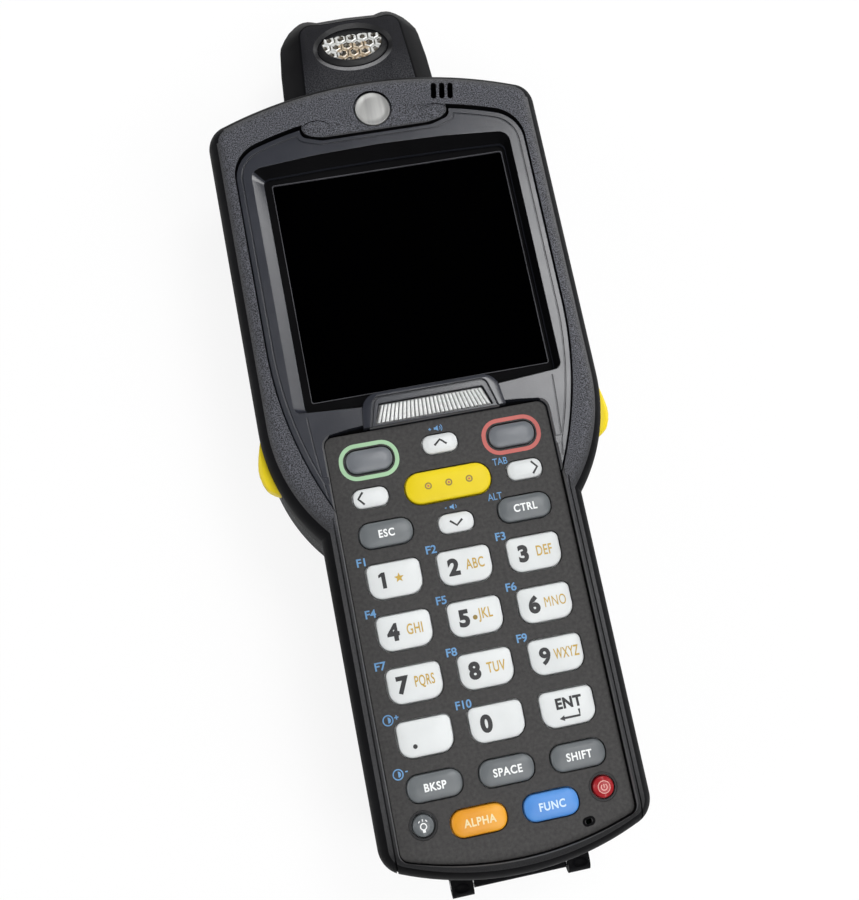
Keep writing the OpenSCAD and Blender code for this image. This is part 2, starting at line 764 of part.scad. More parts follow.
module light_bar() color("gainsboro") in_frame() {
    extrude(bar_seat_h, bezel_top_h - 0.4) bar_2d();
    for (i = [-11:11])
        extrude(bezel_top_h - 0.5, bezel_top_h + 0.1)
            translate([i * rib_pitch - 0.3, bar_y + 0.2]) square([0.6, bar_l - 0.4]);
}

module badge_disc() color("silver") in_frame()
    translate([0, badge_y, body_h - 0.9]) cylinder(d = badge_d, h = 0.8);

module keypad_panel() color("#4a494b") in_frame()
    difference() {
        extrude(panel_seat_h, panel_top_h) panel_2d();
        for (k = KEYS)
            translate([k[1], k[2], 0]) {
                extrude(panel_seat_h - cut, panel_top_h + cut) polygon(key_points(k[3], key_gap));
                if (k[3] == ROUND)
                    extrude(panel_top_h - 0.5, panel_top_h + cut) circle(r = well_r);
            }
        translate([round_x - 4.4, round_row_y - 6.1, panel_seat_h - cut])
            cylinder(r = 0.7, h = 2 * panel_t + cut);
    }

module keypad_board() color("darkgreen") in_frame() {
    extrude(deck_h - board_t, deck_h) panel_2d(-0.3);
    for (k = KEYS)
        translate([k[1], k[2], deck_h]) cylinder(r = min(dome_r, k[3][1] / 2 - 0.3), h = dome_t);
    // the scan buttons' switches, under the edges of the board
    both_sides() translate([board_half - switch_w, button_y - switch_w, button_mid_h - button_stem_r])
        cube([switch_w, 1.8 * switch_w, deck_h - board_t - button_mid_h + button_stem_r]);
}

module main_board() color("darkgreen") in_frame() {
    extrude(main_board_h, main_board_h + main_board_t)
        band_y(main_board_y, main_board_top_y, main_board_w / 2);
    for (y = can_ys)
        translate([-can[0] / 2, y, main_board_h + main_board_t]) cube(can);
}

module speaker() color("black") in_frame()
    translate([speaker_x, speaker_y, deck_h] - [speaker_size[0] / 2, speaker_size[1], speaker_size[2]])
        cube(speaker_size);

module backup_cell() color("silver") in_frame()
    translate([0, cell_y, main_board_h + main_board_t])
        cylinder(r = cell_r, h = cell_t);

module battery_contacts() color("goldenrod") in_frame()
    extrude(pocket_h, main_board_h)
        band_y(contact_y, contact_y + contact_l, contact_w / 2);

module port_connector() color("silver") in_frame()
    translate([wall - handle_w / 2, port_y - port_body[1] / 2, deck_h - board_t - port_body[2]])
        difference() {
            cube(port_body);
            translate([-cut, (port_body[1] - port_w) / 2, port_h - deck_h + board_t + port_body[2]])
                cube([port_body[0] - 1, port_w, port_t]);
        }

module battery_pack() color("#202124") in_frame()
    extrude(battery_h, pocket_h)
        translate([0, battery_y + battery_l / 2])
            square([battery_w, battery_l], center = true);

module battery_door() color("#2c2d31") in_frame()
    difference() {
        union() {
            difference() {
                intersection() {
                    rear_form();
                    extrude(door_lift, door_wall_h) band_y(-5, door_len, door_w / 2);
                }
                extrude(door_in_h, parting_h) {
                    polygon(outline(door_t));
                    band_y(end_zone_y, body_len);
                }
            }
            // the tongue between the knuckles, up to the barrel
            translate([door_gap - knuckle_x, 0, 0]) rotate([90, 0, 90])
                linear_extrude(2 * (knuckle_x - door_gap))
                    polygon([[0.2, door_wall_h - 2], [door_t, door_wall_h - 2],
                             [door_t, door_wall_h], [hinge_y + barrel_r, hinge_h],
                             [hinge_y - barrel_r, hinge_h]]);
            translate([0, hinge_y, hinge_h])
                x_rod(barrel_r, door_gap - knuckle_x, knuckle_x - door_gap);
        }
        translate([0, hinge_y, hinge_h]) x_rod(pin_r + run, -hinge_span, hinge_span);
        for (x = [-latch_x, latch_x])
            translate([x, 0, 0]) {
                extrude(0, door_lift + latch_pocket_t)
                    band_y(latch_y - latch_travel - 0.3, latch_y + latch_l + 0.3, latch_w / 2 + 0.3);
                extrude(0, door_in_h + cut)
                    band_y(latch_y + 1.5 - latch_travel - 0.3, latch_y + 4.2, 1.9);
            }
    }

module door_hinge_pin() color("silver") in_frame()
    translate([0, hinge_y, hinge_h]) x_rod(pin_r, -hinge_span / 2, hinge_span / 2);

// A sliding latch: thumb piece in the door's face, neck, and the bar that locks the door
module door_latch(x) {
    face = door_lift + latch_face;
    translate([x, 0, 0]) {
        extrude(face, door_lift + latch_pocket_t - 0.1)
            band_y(latch_y, latch_y + latch_l, latch_w / 2);
        extrude(face, door_in_h + latch_bar_t)
            band_y(latch_y + 1.5, latch_y + 3.9, 1.6);
        extrude(door_in_h + 0.05, door_in_h + latch_bar_t)
            band_y(latch_y + 0.5, door_len + latch_out, latch_bar_w / 2);
    }
}

module door_latch_left() color("gray") in_frame() door_latch(-latch_x);
module door_latch_right() color("gray") in_frame() door_latch(latch_x);

module side_button() {
    intersection() {
        button_tunnel(0);
        flare_band(flare_r - wall - 0.3, flare_r + button_stand);
    }
    intersection() {
        button_tunnel(1.2);
        flare_band(flare_r - wall - 1.6, flare_r - wall - 0.3);
    }
    // stem to the switch, which it reaches at the end of its travel
    translate([0, button_y, button_mid_h])
        x_rod(button_stem_r, board_half + button_travel + 0.1, flare_x + flare_r - wall - 1.8);
}

module side_button_left() color("gold") in_frame() mirror([1, 0, 0]) side_button();
module side_button_right() color("gold") in_frame() side_button();

module swivel_plate() color("#2c2d31") in_frame()
    difference() {
        extrude(parting_h, mount_top_h) intersection() {
            polygon(outline(wall - 1 + fit));
            band_y(rear_len - wall, body_len);
        }
        translate([0, pivot_y, parting_h - cut]) cylinder(r = shaft_r + run, h = mount_t + 2 * cut);
    }

// The scan head's form: full width from low to high, bevelled down to a face at height h
module head_form(low, high, h, bevel, d = 0)
    hull() {
        extrude(low, high) head_2d(d);
        extrude(h, h + 0.02) {
            head_2d(d + bevel);
            translate([0, bevel / 4]) head_2d(d + bevel);
        }
    }

module exit_cut()
    translate([0, scan_reach, exit_h + exit_window_h / 2])
        cube([exit_window_w + 2 * fit, 6, exit_window_h + 2 * fit], center = true);

module head_cover() color("#26272b") in_head_frame()
    difference() {
        union() {
            difference() {
                head_form(head_split_h, head_top_h - 6, head_top_h - 0.02, head_bevel);
                head_form(head_split_h - cut, head_top_h - 7, head_top_h - head_wall,
                          head_bevel, head_wall);
            }
            head_screw_places() extrude(head_split_h, head_top_h - 4) circle(r = 2.3);
            extrude(head_top_h - head_wall, shaft_top_h) circle(r = shaft_r);
        }
        extrude(head_top_h - 2 * head_wall, shaft_top_h + cut) circle(r = shaft_bore_r);
        extrude(clip_h, clip_h + clip_t + 0.1) difference() {
            circle(r = shaft_r + cut);
            circle(r = clip_groove_r);
        }
        head_screw_places() extrude(head_split_h - cut, head_top_h - 5) circle(r = screw_r + run);
        translate([0, lens_y, 0]) {
            extrude(head_top_h - 0.8, head_top_h + cut) oval_2d(rim_oval_w, rim_oval_l);
            extrude(lens_seat_h, head_top_h + cut) oval_2d(lens_w + 2 * fit, lens_l + 2 * fit);
        }
        exit_cut();
    }

module head_base() color("#26272b") in_head_frame()
    difference() {
        union() {
            difference() {
                head_form(head_low_h + 4, head_split_h, head_low_h, low_bevel);
                head_form(head_low_h + 5, head_split_h + cut, head_low_h + head_wall,
                          low_bevel, head_wall);
            }
            head_screw_places() extrude(head_low_h + head_wall - 0.1, head_split_h)
                circle(r = head_boss_r);
        }
        head_screw_places() {
            extrude(head_low_h - cut, head_seat_h) circle(r = screw_head_r + 0.1);
            extrude(head_low_h, head_split_h + cut) circle(r = screw_r + 0.2);
        }
        exit_cut();
    }

module exit_window() color("#3a1016") in_head_frame()
    translate([0, scan_reach - 1.4, exit_h + exit_window_h / 2])
        cube([exit_window_w, 1.2, exit_window_h], center = true);

module indicator_lens() color("gainsboro") in_head_frame()
    translate([0, lens_y, 0]) extrude(lens_seat_h, head_top_h - 0.1) oval_2d(lens_w, lens_l);

module scan_engine() color("#3f4247") in_head_frame() {
    translate([-engine_w / 2, engine_y, head_low_h + head_wall])
        cube([engine_w, engine_l, engine_t]);
    translate([0, engine_y + engine_l, head_low_h + head_wall + engine_t / 2])
        rotate([-90, 0, 0]) cylinder(r = 3.6, h = 3);
}

module swivel_clip() color("silver") in_head_frame()
    extrude(clip_h + 0.05, clip_h + clip_t) difference() {
        circle(r = clip_r);
        circle(r = clip_groove_r + run);
        translate([0, -clip_r]) square([4.4, 2 * clip_r], center = true);
    }

// A screw standing on its head: z is the underside of the head
module screw(z, length) {
    extrude(z - screw_head_t, z) difference() {
        circle(r = screw_head_r);
        circle(r = 0.9, $fn = 6);
    }
    extrude(z - screw_head_t + 1.1, z + length) circle(r = screw_r);
}

module head_screws() color("gray") in_head_frame()
    head_screw_places() screw(head_seat_h, head_top_h - 6 - head_seat_h);

module housing_screws() color("gray") in_frame()
    screw_places() screw(screw_seat_h, screw_l);

// A key: the cap with rounded shoulders, the lip under the panel and the stem over its switch
module key(k)
    color(k[4]) in_frame() translate([k[1], k[2], 0]) {
        loft([[panel_seat_h, key_points(k[3])],
              [key_top_h - 0.6, key_points(k[3])],
              [key_top_h - 0.2, key_points(k[3], -0.3)],
              [key_top_h, key_points(k[3], -0.9)]], [0, 0]);
        extrude(panel_seat_h - lip_t, panel_seat_h) polygon(key_points(k[3], lip_w));
        extrude(stem_h, panel_seat_h) circle(r = stem_r);
    }

front_housing();
rear_housing();
housing_seal();
display_bezel();
display_gasket();
touch_panel();
display_module();
light_bar();
badge_disc();
keypad_panel();
keypad_board();
main_board();
speaker();
backup_cell();
battery_contacts();
port_connector();
battery_pack();
battery_door();
door_hinge_pin();
door_latch_left();
door_latch_right();
side_button_left();
side_button_right();
swivel_plate();
head_cover();
head_base();
exit_window();
indicator_lens();
scan_engine();
swivel_clip();
head_screws();
housing_screws();
for (k = KEYS)
    key(k);
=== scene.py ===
import random
from math import acos, asin, atan2, cos, degrees, hypot, pi, radians, sin, sqrt, tan

import bmesh
import bpy
from mathutils import Matrix, Vector


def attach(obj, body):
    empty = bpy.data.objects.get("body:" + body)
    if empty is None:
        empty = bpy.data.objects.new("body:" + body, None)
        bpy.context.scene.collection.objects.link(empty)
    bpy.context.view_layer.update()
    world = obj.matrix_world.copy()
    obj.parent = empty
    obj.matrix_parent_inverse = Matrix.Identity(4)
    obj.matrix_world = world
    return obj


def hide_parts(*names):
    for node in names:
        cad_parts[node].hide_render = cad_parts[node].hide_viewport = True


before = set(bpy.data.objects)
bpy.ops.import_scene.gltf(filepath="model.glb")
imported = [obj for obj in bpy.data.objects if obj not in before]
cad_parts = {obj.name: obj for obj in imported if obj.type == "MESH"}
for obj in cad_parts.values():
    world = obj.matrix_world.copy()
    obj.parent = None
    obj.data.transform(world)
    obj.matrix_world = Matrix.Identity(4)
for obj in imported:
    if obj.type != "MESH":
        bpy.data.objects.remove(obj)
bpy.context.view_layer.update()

random.seed(4)

# Pieces are drawn in millimetres with y counted from the bottom end, then moved into the frame.
MM = 0.001
MID_Y = 101.15

HANDLE_W, END_W, BODY_L, BODY_H = 58, 76.6, 179.4, 40.5
PARTING, WALL = 27.4, 2.2
SHOULDER_Y, FLARE_R, END_R, HOOD_R = 101, 40, 66, 99
END_CORNER, HOOD_CORNER = 6, 5.5
RIM_W, RIM_H = 5.2, 6
FLARE_X = END_W / 2 - FLARE_R
PANEL_W, PANEL_Y, PANEL_TOP_Y, PANEL_R = 49.4, 3.8, 96.6, 74
PANEL_SEAT, PANEL_TOP = 37.3, 38.5
BEZEL_SEAT, BEZEL_TOP, BEZEL_HALF = 36.5, 39.9, 33.3
SEAM_R, SEAM_Y = 88, 118
DECK = 34
GAP = 0.15
KEY_TOP = 39.7
PIVOT_Y = 165.0
REAR_L = 145.5
BADGE_Y = 170.3
TAB_Y = BODY_L - 14.5
BAR_Y = 97.5
ARCH_TOP = BEZEL_TOP + 0.7
HINGE_Y, HINGE_H, KNUCKLE_R = -1, 24.2, 2.8
BUTTON_Y, BUTTON_Z, BUTTON_L, BUTTON_H = 93.5, 30.8, 12.6, 6.2
LENS_Y = 29.5
SWELL_X, SWELL_Y = 13.6, TAB_Y + 2.35
BADGE_HOLE_R = 4.42
LATCH_X = (-12, 12)
SCREW_SPOTS = ((25.3, 11), (33.6, 110), (33.6, REAR_L - 6.5))
# how far the recess's walls run in from its rim to the ledge over the glass: 0 is the window, 1 the rim
LEDGE = 0.4

scene = bpy.context.scene


# ---- shapes

def arc(cx, cy, r, a0, a1, n):
    """n + 1 points of an arc, angles in degrees."""
    return [(cx + r * cos(radians(a0 + (a1 - a0) * i / n)),
             cy + r * sin(radians(a0 + (a1 - a0) * i / n))) for i in range(n + 1)]


def rounded(corners, n=6):
    """A polygon from corners (x, y, radius); a radius of 0 keeps the corner."""
    out = []
    count = len(corners)
    for i, (x, y, r) in enumerate(corners):
        here = Vector((x, y))
        if r <= 0:
            out.append((x, y))
            continue
        to_last = (Vector(corners[i - 1][:2]) - here).normalized()
        to_next = (Vector(corners[(i + 1) % count][:2]) - here).normalized()
        half = to_last.angle(to_next) / 2
        centre = here + (to_last + to_next).normalized() * r / sin(half)
        start = here + to_last * r / tan(half) - centre
        end = here + to_next * r / tan(half) - centre
        a = atan2(start.y, start.x)
        turn = (atan2(end.y, end.x) - a + pi) % (2 * pi) - pi
        out += [(centre.x + r * cos(a + turn * k / n), centre.y + r * sin(a + turn * k / n))
                for k in range(n + 1)]
    return out


def rounded_box(x, y, r):
    return rounded([(-x, -y, r), (x, -y, r), (x, y, r), (-x, y, r)])


def both_sides(half, on_axis=True):
    """Adds a half's mirror image; its last point, and its first if on_axis, lie on the axis."""
    return half + [(-x, y) for x, y in half[-2:0 if on_axis else None:-1]]


def outline(d=0.0):
    """The housings' outline, d inside the real one."""
    side = HANDLE_W / 2
    reach = END_R - END_CORNER
    low = (side - END_CORNER, END_R - sqrt(reach ** 2 - (side - END_CORNER) ** 2))
    low_a = degrees(atan2(low[1] - END_R, low[0]))
    flare_a = -degrees(acos((side - d - FLARE_X) / (FLARE_R - d)))
    hood_y = BODY_L - HOOD_R
    high_x = END_W / 2 - HOOD_CORNER
    high = (high_x, hood_y + sqrt((HOOD_R - HOOD_CORNER) ** 2 - high_x ** 2))
    high_a = degrees(atan2(high[1] - hood_y, high_x))
    half = (arc(0, END_R, END_R - d, -90, low_a, 12)
            + arc(*low, END_CORNER - d, low_a + 4, 0, 14)
            + [(side - d, 30 + 8 * i) for i in range(4)]
            + arc(FLARE_X, SHOULDER_Y, FLARE_R - d, flare_a, 0, 24)
            + [(END_W / 2 - d, 112 + 9 * i) for i in range(6)]
            + arc(*high, HOOD_CORNER - d, 0, high_a - 4, 12)
            + arc(0, hood_y, HOOD_R - d, high_a, 90, 14))
    return both_sides(half)


def panel_outline(g=0.0):
    """The keypad panel's outline, g wider all round."""
    r = PANEL_R + g
    half = PANEL_W / 2 + g
    edge = degrees(asin(half / r))
    low = arc(0, PANEL_Y + PANEL_R, r, -90 - edge, -90 + edge, 24)
    corners = [(x, y, 2 + g if i in (0, 24) else 0) for i, (x, y) in enumerate(low)]
    return rounded(corners + [(half, PANEL_TOP_Y + g, 2 + g), (-half, PANEL_TOP_Y + g, 2 + g)])


def bezel_edge(g=0.0, over=0.0):
    """The bezel's outer edge, g wider all round and over more at the hood."""
    seam_x = BEZEL_HALF - SEAM_R
    inner = PANEL_W / 2 + GAP - g
    low_a = -degrees(acos((inner - seam_x) / (SEAM_R + g)))
    top_r = HOOD_R - 9.6 + g + over
    hood_y = BODY_L - HOOD_R
    corner = 8 + g
    cx = BEZEL_HALF + g - corner
    cy = hood_y + sqrt((top_r - corner) ** 2 - cx ** 2)
    high_a = degrees(atan2(cy - hood_y, cx))
    half = (arc(seam_x, SEAM_Y, SEAM_R + g, low_a, 0, 28)
            + arc(cx, cy, corner, 0, high_a, 12)
            + arc(0, hood_y, top_r, high_a + 0.6, 90, 20))
    return both_sides(half, False)


def tab_outline(g=0.0):
    """The tab that the hood sends down into the bezel; it is g smaller all round."""
    top = 172
    y = TAB_Y + g
    half = [(12.4 - g, y, 6), (16.9 - g, y + 1.5, 1.8), (17 - g, y + 4.2, 0), (16.6 - g, top, 0)]
    return rounded([(-x, v, r) for x, v, r in reversed(half)] + half, 6)


def key_outline(w, l, far, near, d=0.0):
    """A key's outline, d inside the real one, with the corner radii of its far and near end."""
    x, y = w / 2, l / 2
    return (arc(x - far, y - far, far - d, 0, 90, 8)
            + arc(far - x, y - far, far - d, 90, 180, 8)
            + arc(near - x, near - y, near - d, 180, 270, 8)
            + arc(x - near, near - y, near - d, 270, 360, 8))


def oval(w, l, n=64, cx=0.0, cy=0.0):
    return [(cx + w / 2 * cos(2 * pi * i / n), cy + l / 2 * sin(2 * pi * i / n))
            for i in range(n)]


# ---- meshes

def linked(name, data):
    ob = bpy.data.objects.new(name, data)
    scene.collection.objects.link(ob)
    return ob


def new_mesh(name, verts, faces):
    me = bpy.data.meshes.new(name)
    me.from_pydata(verts, [], faces)
    me.update()
    return linked(name, me)


def finished_mesh(ob):
    """A new mesh of the object as its modifiers or its text make it."""
    bpy.context.view_layer.update()
    return bpy.data.meshes.new_from_object(ob.evaluated_get(bpy.context.evaluated_depsgraph_get()))


def loft(name, rings):
    """A closed skin through rings of 3-D points; all rings have the same number of points."""
    n = len(rings[0])
    verts = [p for ring in rings for p in ring]
    faces = [(j * n + i, j * n + (i + 1) % n, (j + 1) * n + (i + 1) % n, (j + 1) * n + i)
             for j in range(len(rings) - 1) for i in range(n)]
    faces += [tuple(range(n - 1, -1, -1)), tuple((len(rings) - 1) * n + i for i in range(n))]
    return new_mesh(name, verts, faces)


def at(points, z):
    return [(x, y, z) for x, y in points]


def layered(name, outline_of, layers):
    """A loft of one outline at several sizes; each layer is its size (or sizes) and its height."""
    return loft(name, [at(outline_of(*size), z) for *size, z in layers])


def prism(points, z0, z1, name="cutter"):
    return loft(name, [at(points, z0), at(points, z1)])


def block(x0, x1, y0, y1, z0, z1, name="cutter"):
    return prism([(x0, y0), (x1, y0), (x1, y1), (x0, y1)], z0, z1, name)


def rod(r, z0, z1, x=0.0, y=0.0, n=48):
    return prism(oval(2 * r, 2 * r, n, x, y), z0, z1)


def x_rod(r, x0, x1, y, z, n=40):
    ring = oval(2 * r, 2 * r, n)
    return loft("cutter", [[(x0, y + a, z + b) for a, b in ring], [(x1, y + a, z + b) for a, b in ring]])


def joined(*obs):
    """One object from several that don't touch each other."""
    verts, faces = [], []
    for ob in obs:
        base = len(verts)
        verts += [tuple(ob.matrix_world @ v.co) for v in ob.data.vertices]
        faces += [tuple(base + i for i in p.vertices) for p in ob.data.polygons]
        name = ob.name
        bpy.data.objects.remove(ob)
    return new_mesh(name, verts, faces)


def boolean(ob, other, operation="DIFFERENCE"):
    """Cuts other out of ob, or joins it on, and deletes it."""
    mod = ob.modifiers.new("boolean", "BOOLEAN")
    mod.operation = operation
    mod.object = other
    mod.solver = "EXACT"
    done = finished_mesh(ob)
    ob.modifiers.clear()
    ob.data = done
    bpy.data.objects.remove(other)
    return ob


def cut(ob, *others):
    for other in others:
        boolean(ob, other)
    return ob


def fuse(ob, *others):
    for other in others:
        boolean(ob, other, "UNION")


def common(ob, other):
    return boolean(ob, other, "INTERSECT")


def zone(inset, z0, z1, y0, y1):
    """What lies inset inside the housings' outline, between two heights and two ends."""
    return common(prism(outline(inset), z0, z1), block(-50, 50, y0, y1, z0 - 1, z1 + 1))


def flat_mesh(points_list, name):
    """Flat filled outlines as one mesh at height 0."""
    verts, faces = [], []
    for points in points_list:
        base = len(verts)
        verts += at(points, 0)
        faces.append(tuple(base + i for i in range(len(points))))
    return new_mesh(name, verts, faces)


def line_mesh(paths, width, name):
    """Strokes of one width along open paths."""
    verts, faces = [], []
    for path in paths:
        pts = [Vector(p) for p in path]
        base = len(verts)
        for i, p in enumerate(pts):
            ahead = (pts[min(i + 1, len(pts) - 1)] - pts[max(i - 1, 0)]).normalized()
            side = Vector((-ahead.y, ahead.x)) * width / 2
            verts += [(*(p + side), 0), (*(p - side), 0)]
        faces += [tuple(base + 2 * i + k for k in (0, 1, 3, 2)) for i in range(len(pts) - 1)]
    return new_mesh(name, verts, faces)


def placed(ob, name, body, material, nodes=(), angle=32, at_y=0.0, at_x=0.0):
    """Moves a finished piece from millimetres into the frame and hangs it on its body."""
    ob.name = name
    ob.data.name = name
    ob.data.transform(Matrix.Scale(MM, 4) @ Matrix.Translation((at_x, at_y - MID_Y, 0)))
    ob.data.materials.clear()
    for m in material if isinstance(material, list) else [material]:
        ob.data.materials.append(m)
    if angle:
        ob.data.shade_smooth()
        ob.data.set_sharp_from_angle(angle=radians(angle))
    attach(ob, body)
    if nodes:
        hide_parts(*nodes)
    return ob


def faces_of(ob):
    """Each face of a placed piece and its middle in millimetres."""
    for face in ob.data.polygons:
        x, y, z = (c / MM for c in face.center)
        yield face, x, y + MID_Y, z


# ---- materials

EDGE_ROUND = 0.00022


class Nodes:
    """A material's or the world's node tree, with short ways to add nodes and to feed the shader."""

    def __init__(self, name, world=None):
        self.mat = world or bpy.data.materials.new(name)
        self.mat.use_nodes = True
        self.tree = self.mat.node_tree
        self.shader = self.tree.nodes["Background" if world else "Principled BSDF"]

    def feed(self, socket, value):
        """Joins an output to a socket, or sets the socket to a plain value."""
        if isinstance(value, bpy.types.NodeSocket):
            self.tree.links.new(value, socket)
        else:
            socket.default_value = value

    def node(self, kind, inputs, out=0, **settings):
        """Adds a node, feeds its inputs and gives one of its outputs."""
        node = self.tree.nodes.new("ShaderNode" + kind)
        for k, v in settings.items():
            setattr(node, k, v)
        for k, v in inputs.items():
            self.feed(node.inputs[k], v)
        return node.outputs[out]

    def set(self, **values):
        for k, v in values.items():
            self.feed(self.shader.inputs[k.replace("_", " ")], v)

    def place(self):
        return self.node("TexCoord", {}, "Object")

    def noise(self, scale, detail=3.0, rough=0.55):
        inputs = {"Vector": self.place(), "Scale": scale, "Detail": detail, "Roughness": rough}
        return self.node("TexNoise", inputs, "Fac")

    def ramp(self, source, *stops):
        """A colour between two stops, each a place and a colour."""
        colour = self.node("ValToRGB", {"Fac": source}, "Color")
        for element, (place, (r, g, b)) in zip(colour.node.color_ramp.elements, stops):
            element.position = place
            element.color = (r, g, b, 1)
        return colour

    def span(self, source, low, high, side="To"):
        """Maps 0 to 1 to low to high, or the other way with side From."""
        return self.node("MapRange", {"Value": source, side + " Min": low, side + " Max": high}, "Result")

    def maths(self, operation, a, b):
        return self.node("Math", {0: a, 1: b}, operation=operation)

    def mix(self, share, a, b):
        return self.node("Mix", {0: share, 6: a, 7: b}, 2, data_type="RGBA")

    def bump(self, height, strength, distance, edge=EDGE_ROUND):
        """Bump over a shading-only rounding of the sharp edges."""
        inputs = {"Height": height, "Strength": strength, "Distance": distance}
        if edge:
            inputs["Normal"] = self.node("Bevel", {"Radius": edge}, samples=4)
        return self.node("Bump", inputs)


def plastic(name, low, high, rough=0.45, grain=1100, depth=0.00005, strength=0.5, edge=EDGE_ROUND,
            patch=60, spec=0.5, coat=0.0, metal=0.0):
    """A moulded plastic: two close colours in soft patches and a fine grain."""
    n = Nodes(name)
    n.set(Base_Color=n.ramp(n.noise(patch, 4), (0.3, low), (0.7, high)),
          Normal=n.bump(n.noise(grain, 2), strength, depth, edge),
          Roughness=n.span(n.noise(patch * 3, 3), rough - 0.05, rough + 0.07),
          Specular_IOR_Level=spec, Coat_Weight=coat, Coat_Roughness=0.12, Metallic=metal)
    return n.mat


def leather(name, low, high, plain, fade, scale, depth, rough=0.5, spec=0.5, turn=(0.78, 0.99),
            painted_shade_end=None):
    """A moulded grain that fades into a plain skin along y and where the face turns aside, which darkens it
    there as painted shade; its colour is painted shade in the valleys and painted highlight on the peaks.
    """
    n = Nodes(name)
    y = n.node("SeparateXYZ", {"Vector": n.place()}, "Y")
    # where the face turns aside the grain fades into the darker plain skin: partly the grain's real edge,
    # partly painted shade
    up = n.node("SeparateXYZ", {"Vector": n.node("NewGeometry", {}, "Normal")}, "Z")
    share = n.maths("MULTIPLY", n.span(y, *fade, "From"), n.span(up, *turn, "From"))
    grain = n.noise(scale, 2, 0.6)
    skin = n.ramp(n.noise(scale / 3, 3), (0.35, plain), (0.65, tuple(1.5 * c for c in plain)))
    # painted shade: the skin darkens to near black towards the bottom end
    if painted_shade_end:
        skin = n.mix(n.span(y, *painted_shade_end, "From"), (0.005, 0.005, 0.006, 1), skin)
    # the grain's colour follows its bump: darker in the valleys as painted shade, lighter on the peaks as
    # painted highlight
    n.set(Base_Color=n.mix(share, skin, n.ramp(grain, (0.42, low), (0.60, high))),
          Roughness=n.ramp(grain, (0.35, (rough + 0.2,) * 3), (0.62, (rough - 0.08,) * 3)),
          Normal=n.bump(grain, share, depth, 0), Specular_IOR_Level=spec)
    return n.mat


def clear_lens(name, low, high, rough=0.12):
    n = Nodes(name)
    spots = n.noise(1500, 4)
    n.set(Base_Color=n.ramp(spots, (0.3, low), (0.65, high)), Normal=n.bump(spots, 0.3, 0.00005, 0),
          Roughness=rough, Coat_Weight=0.6, Coat_Roughness=0.05, Transmission_Weight=0.15)
    return n.mat


def brushed(name, low, high):
    n = Nodes(name)
    stretched = n.node("Mapping", {"Vector": n.place(), "Scale": (900, 60, 60)})
    lines = n.node("TexNoise", {"Vector": stretched, "Scale": 1.0, "Detail": 4}, "Fac")
    n.set(Base_Color=n.ramp(lines, (0.3, low), (0.7, high)), Normal=n.bump(lines, 0.2, 0.00003, 0.0003),
          Metallic=0.7, Roughness=0.5)
    return n.mat


def display_glass():
    n = Nodes("display_glass")
    low, high = (0.0001, 0.0001, 0.0002), (0.0003, 0.0003, 0.0004)
    n.set(Base_Color=n.ramp(n.noise(14, 2), (0.3, low), (0.7, high)),
          Roughness=n.ramp(n.noise(260, 3), (0.35, (0.035,) * 3), (0.75, (0.10,) * 3)),
          Specular_IOR_Level=0.0)
    return n.mat


def skin(name, low, high, rough, spec, **more):
    return plastic(name, low, high, rough, 1500, 0.00003, 0.3, spec=spec, **more)


def rubber(name, low, high, rough, depth=0.00002, strength=0.2, spec=0.5):
    return plastic("key_" + name, low, high, rough, 700, depth, strength, patch=90, spec=spec)


def ink(name, low, high):
    return plastic("ink_" + name, low, high, 0.5, edge=0)


# the fades and the painted shade at the bottom end are places along y in the frame, in metres
HOUSING = leather("housing", (0.005, 0.005, 0.007), (0.112, 0.116, 0.138), (0.018, 0.018, 0.020),
                  (-0.032, -0.012), 4000, 0.0002, 0.5, 0.4, painted_shade_end=(-0.094, -0.082))
BACK = leather("housing_back", (0.005, 0.005, 0.006), (0.026, 0.0265, 0.029), (0.01, 0.01, 0.01),
               (-1.0, -0.9), 2600, 0.0001, 0.6, 0.2, (-1.2, -1.1))
SMOOTH = skin("housing_smooth", (0.003, 0.003, 0.0035), (0.006, 0.006, 0.007), 0.5, 0.03)
# painted highlight for the lit chamfer round the keypad panel
LIP_HIGHLIGHT = skin("housing_lip_painted_highlight", (0.07, 0.07, 0.072), (0.10, 0.10, 0.104), 0.35, 0.4, edge=0)
BEZEL = plastic("bezel", (0.018, 0.020, 0.027), (0.026, 0.028, 0.037), 0.22, 2800, 0.00004, 0.35,
                coat=0.15)
PANEL = plastic("panel", (0.026, 0.025, 0.025), (0.047, 0.045, 0.044), 0.55, 1600, 0.00006, 0.6,
                patch=1300, spec=0.3)
HEAD = leather("head", (0.004, 0.004, 0.006), (0.05, 0.052, 0.06), (0.004, 0.004, 0.006),
               (0.092, 0.080), 3300, 0.00016, 0.5, 0.25)
HEAD_SIDE = skin("head_side", (0.003, 0.003, 0.0035), (0.006, 0.006, 0.007), 0.5, 0.03)
# painted highlight: a light crescent on the lower wall of the dish round the lens, lighter towards its lower
# side
DISH_HIGHLIGHT = leather("head_dish_painted_highlight", (0.15, 0.15, 0.156), (0.21, 0.21, 0.216), (0.005, 0.005, 0.006),
                    (0.0915, 0.0878), 3300, 0.00003, 0.4, 0.4, (0.2, 0.4))
DARK = plastic("dark", (0.004, 0.004, 0.005), (0.008, 0.008, 0.009), 0.4, spec=0.3)
